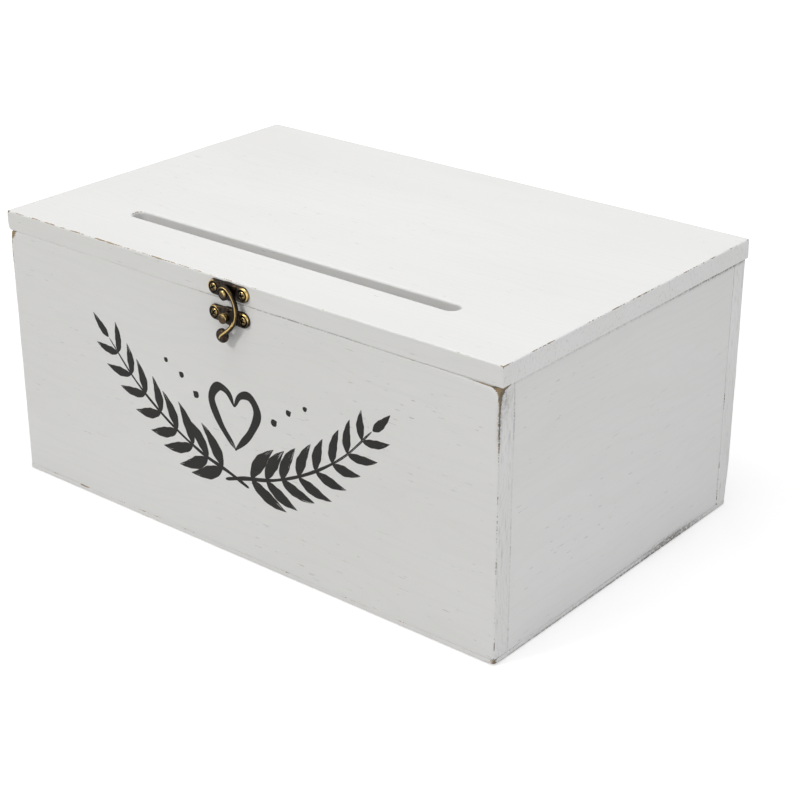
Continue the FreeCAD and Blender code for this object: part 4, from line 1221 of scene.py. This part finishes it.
def put_boards():
    """The six boards, each with its own cut of painted pine."""
    front = painted_pine("front_board_paint", 0, (0, 0, 0), (-38.0, -70.0), end_show=0.11, streak=0.09)
    back = painted_pine("back_board_paint", 0, (90, 40, 0), (30.0, -60.0), end_show=0.08, streak=0.09)
    left = painted_pine("left_side_board_paint", 1, (40, 0, 7), (40.0, -80.0))
    right = painted_pine("right_side_board_paint", 1, (0, 30, 9), (-45.0, -66.0))
    rows = [
        ("front_board", "front_panel", front, 11, (1, -1), 0, [(1, 1)], FRONT_SPOTS, FRONT_DIRT_AND_SHADE),
        ("back_board", "back_panel", back, 23, (1, 1), 0, [(1, -1)], BACK_SPOTS, BACK_PAINTED_SHADE),
        ("left_side_board", "left_side_panel", left, 37, (0, -1), 1, [(0, 1)], (), ()),
        ("right_side_board", "right_side_panel", right, 41, (0, 1), 1, [(0, -1)], SIDE_SPOTS, SIDE_DIRT_AND_SHADE),
    ]
    for name, node, finish, seed, outer, grain, bare, spots, dirt_and_shade in rows:
        surface = board(node, seed, WALL_EDGE, WALL_JOINT_EDGE, outer, grain, bare, spots, dirt_and_shade)
        if name == "front_board":
            close_seam(surface[0], BOX_TOP)
        make_piece(name, surface, finish, "box", [node])
    sheet = board("bottom_panel", 53, SHEET_EDGE, SHEET_JOINT_EDGE, (2, -1), 0, [(2, -1), (2, 1)],
                  SHEET_SPOTS, SHEET_DARKENING)
    sheet_paint = painted_pine("bottom_sheet_paint", 0, (10, 20, 0), (60.0, -20.0))
    make_piece("bottom_sheet", sheet, sheet_paint, "box", ["bottom_panel"])
    lid_paint = painted_pine("lid_board_paint", 0, (30, 15, 5), (-25.0, -130.0))
    make_piece("lid_board", lid_board(61, LID_EDGE, LID_SPOTS), lid_paint, "lid", ["lid_panel"])


def put_latch(bronze):
    """The swing latch: plate, hook, rivet and screws on the lid's edge, plate, stud and screws below."""
    plate_z = PIVOT[2] + LOBE_DROP
    # Each ear's brass lies toward the given direction, partly as a painted highlight
    latch_shape = latch_plate_shape(LOBE_DROP, (155, 1.35), (40, 1.35))
    catch_shape = latch_plate_shape(0.0, (70, 0.85), (70, 1.0))
    pieces = [
        ("latch_base", casting(*latch_shape, "-y", (0, FRONT_FACE, plate_z)), "lid", "latch_plate"),
        ("catch_base", casting(*catch_shape, "-y", (0, FRONT_FACE, STUD_Z)), "box", "catch_plate"),
        ("swing_hook", swing_hook(), "latch_arm", "latch_arm"),
        ("pivot_rivet", pivot_rivet(), "lid", "latch_rivet"),
        ("catch_post", catch_stud(), "box", "catch_stud"),
    ]
    for name, z, body, node, turns in (
        ("latch_screws", plate_z, "lid", "latch_plate_screws", (0.6, 0.2)),
        ("catch_screws", STUD_Z, "box", "catch_plate_screws", (0.9, 1.3)),
    ):
        seat = FRONT_FACE - PLATE_THICKNESS + PLATE_SEAT_DEPTH
        screws = [
            wood_screw("-y", (side * PLATE_SCREW_SPACING / 2, seat, z), turn)
            for side, turn in zip((-1, 1), turns)
        ]
        pieces.append((name, join(screws), body, node))
    for name, surface, body, node in pieces:
        make_piece(name, surface, bronze, body, [node])


def put_hinges(bronze):
    """Both butt hinges on the back: leaves with rolled knuckles, pins and screws."""
    for side in SIDES:
        low, high = box_of(f"{side}_hinge_pin")
        middle = (low[0] + high[0]) / 2
        for body, up in (("box", False), ("lid", True)):
            node = f"{side}_hinge_{body}_leaf"
            make_piece(f"{node}_plate", hinge_leaf(node, up), bronze, body, [node])
            screws_node = node.replace("leaf", "screws")
            screw_z = HINGE_AXIS[2] + (LEAF_SCREW_OFFSET if up else -LEAF_SCREW_OFFSET)
            screws = [
                wood_screw("+y", (middle + x, BACK_FACE + LEAF_SEAT_HEIGHT, screw_z), 0.4 + x)
                for x in (-LEAF_SCREW_SPACING / 2, LEAF_SCREW_SPACING / 2)
            ]
            make_piece(f"{screws_node}_pair", join(screws), bronze, body, [screws_node])
        pin = f"{side}_hinge_pin"
        make_piece(f"{pin}_rod", hinge_pin(pin), bronze, "box", [pin])


put_boards()
bronze = antique_bronze("antique_bronze_cast")
put_latch(bronze)
put_hinges(bronze)
make_piece("front_garland", garland(), black_brush_paint("black_garland_paint"), "box")
steel = bright_steel("steel_brad_wire")
for node in ("front_corner_brads", "back_corner_brads", "bottom_brads"):
    frame["nodes"][node].data.materials.clear()
    frame["nodes"][node].data.materials.append(steel)


# Floor, light and camera

AMBIENT = 0.274
FLOOR_WHITE = (0.65, 0.65, 0.65, 1)
FLOOR_SIZE = 8.0
FLOOR_LEVEL = -0.0003
FLOOR_LIFT = 0.5
FLOOR_NEAR, FLOOR_FAR = 350.0, 1400.0


def put_floor():
    """A plain white floor. The camera sees it lifted to white, more so away from the box's shadow."""
    half = FLOOR_SIZE / 2
    mesh = bpy.data.meshes.new("floor")
    corners = [(-half, -half), (half, -half), (half, half), (-half, half)]
    mesh.from_pydata([(x, y, FLOOR_LEVEL) for x, y in corners], [], [(0, 1, 2, 3)])
    floor = bpy.data.objects.new("floor", mesh)
    bpy.context.scene.collection.objects.link(floor)
    finish = Finish("floor_white")
    finish.surface(Base_Color=FLOOR_WHITE, Roughness=0.9, Specular_IOR_Level=0.1)
    path = finish.tree.nodes.new("ShaderNodeLightPath")
    seen = finish.math("MAXIMUM", path.outputs["Is Camera Ray"], path.outputs["Is Glossy Ray"])
    seen = finish.math("MAXIMUM", seen, path.outputs["Is Transmission Ray"])
    away = finish.add("ShaderNodeVectorMath", {0: finish.millimetres()}, "Value", operation="LENGTH")
    lift = finish.ramp(away, FLOOR_NEAR, FLOOR_FAR, FLOOR_LIFT, 1.0)
    finish.surface(Emission_Color=(1, 1, 1, 1), Emission_Strength=finish.times(seen, lift))
    mesh.materials.append(finish.material)


def put_world():
    """Even light from all round; the camera, mirrors and glass see it as white."""
    world = bpy.data.worlds.new("studio")
    bpy.context.scene.world = world
    world.use_nodes = True
    tree = world.node_tree
    tree.nodes.clear()
    path = tree.nodes.new("ShaderNodeLightPath")
    strength = tree.nodes.new("ShaderNodeMapRange")
    strength.inputs["To Min"].default_value = AMBIENT
    strength.inputs["To Max"].default_value = 1.0
    seen = [path.outputs[ray] for ray in ("Is Camera Ray", "Is Glossy Ray", "Is Transmission Ray")]
    total = seen[0]
    for ray in seen[1:]:
        add = tree.nodes.new("ShaderNodeMath")
        add.operation = "MAXIMUM"
        tree.links.new(total, add.inputs[0])
        tree.links.new(ray, add.inputs[1])
        total = add.outputs[0]
    tree.links.new(total, strength.inputs["Value"])
    background = tree.nodes.new("ShaderNodeBackground")
    background.inputs["Color"].default_value = (1, 1, 1, 1)
    tree.links.new(strength.outputs[0], background.inputs["Strength"])
    output = tree.nodes.new("ShaderNodeOutputWorld")
    tree.links.new(background.outputs[0], output.inputs["Surface"])


LAMP_TARGET = (0, 0, 0.1)
LAMPS = [
    # name, place and size in metres, power in watts, colour
    ("key_softbox", (-1.73, -3.71, 2.97), 1.0, 79.0, (1.0, 0.99, 0.94)),
    ("top_softbox", (0.0, -0.1, 2.05), 1.4, 22.2, (1, 1, 1)),
    ("right_softbox", (1.64, -0.14, 0.54), 1.0, 6.3, (1, 1, 1)),
]


def put_lamp(name, place, size, power, colour):
    """A square soft box that points at the middle of the box."""
    lamp = bpy.data.lights.new(name, "AREA")
    lamp.size, lamp.energy, lamp.color = size, power, colour
    holder = bpy.data.objects.new(name, lamp)
    holder.location = place
    holder.rotation_euler = (Vector(LAMP_TARGET) - Vector(place)).to_track_quat("-Z", "Y").to_euler()
    bpy.context.scene.collection.objects.link(holder)


CAMERA_AZIMUTH = 39.34
CAMERA_ELEVATION = 24.6
CAMERA_DISTANCE = 1.0689
CAMERA_TARGET = (0.02962, -0.0099, 0.06797)
CAMERA_LENS, SENSOR_WIDTH = 83.94, 36.0


def put_camera():
    """The photograph's camera, set back from its target along azimuth and elevation."""
    azimuth, elevation = math.radians(CAMERA_AZIMUTH), math.radians(CAMERA_ELEVATION)
    level = math.cos(elevation)
    back = Vector((math.sin(azimuth) * level, -math.cos(azimuth) * level, math.sin(elevation)))
    camera = bpy.data.cameras.new("camera")
    camera.lens, camera.sensor_width = CAMERA_LENS, SENSOR_WIDTH
    camera.clip_start, camera.clip_end = 0.01, 100.0
    holder = bpy.data.objects.new("camera", camera)
    holder.location = Vector(CAMERA_TARGET) + back * CAMERA_DISTANCE
    holder.rotation_euler = (-back).to_track_quat("-Z", "Y").to_euler()
    bpy.context.scene.collection.objects.link(holder)
    bpy.context.scene.camera = holder


put_floor()
put_world()
for lamp_row in LAMPS:
    put_lamp(*lamp_row)
put_camera()
bpy.context.scene.view_settings.view_transform = "Standard"
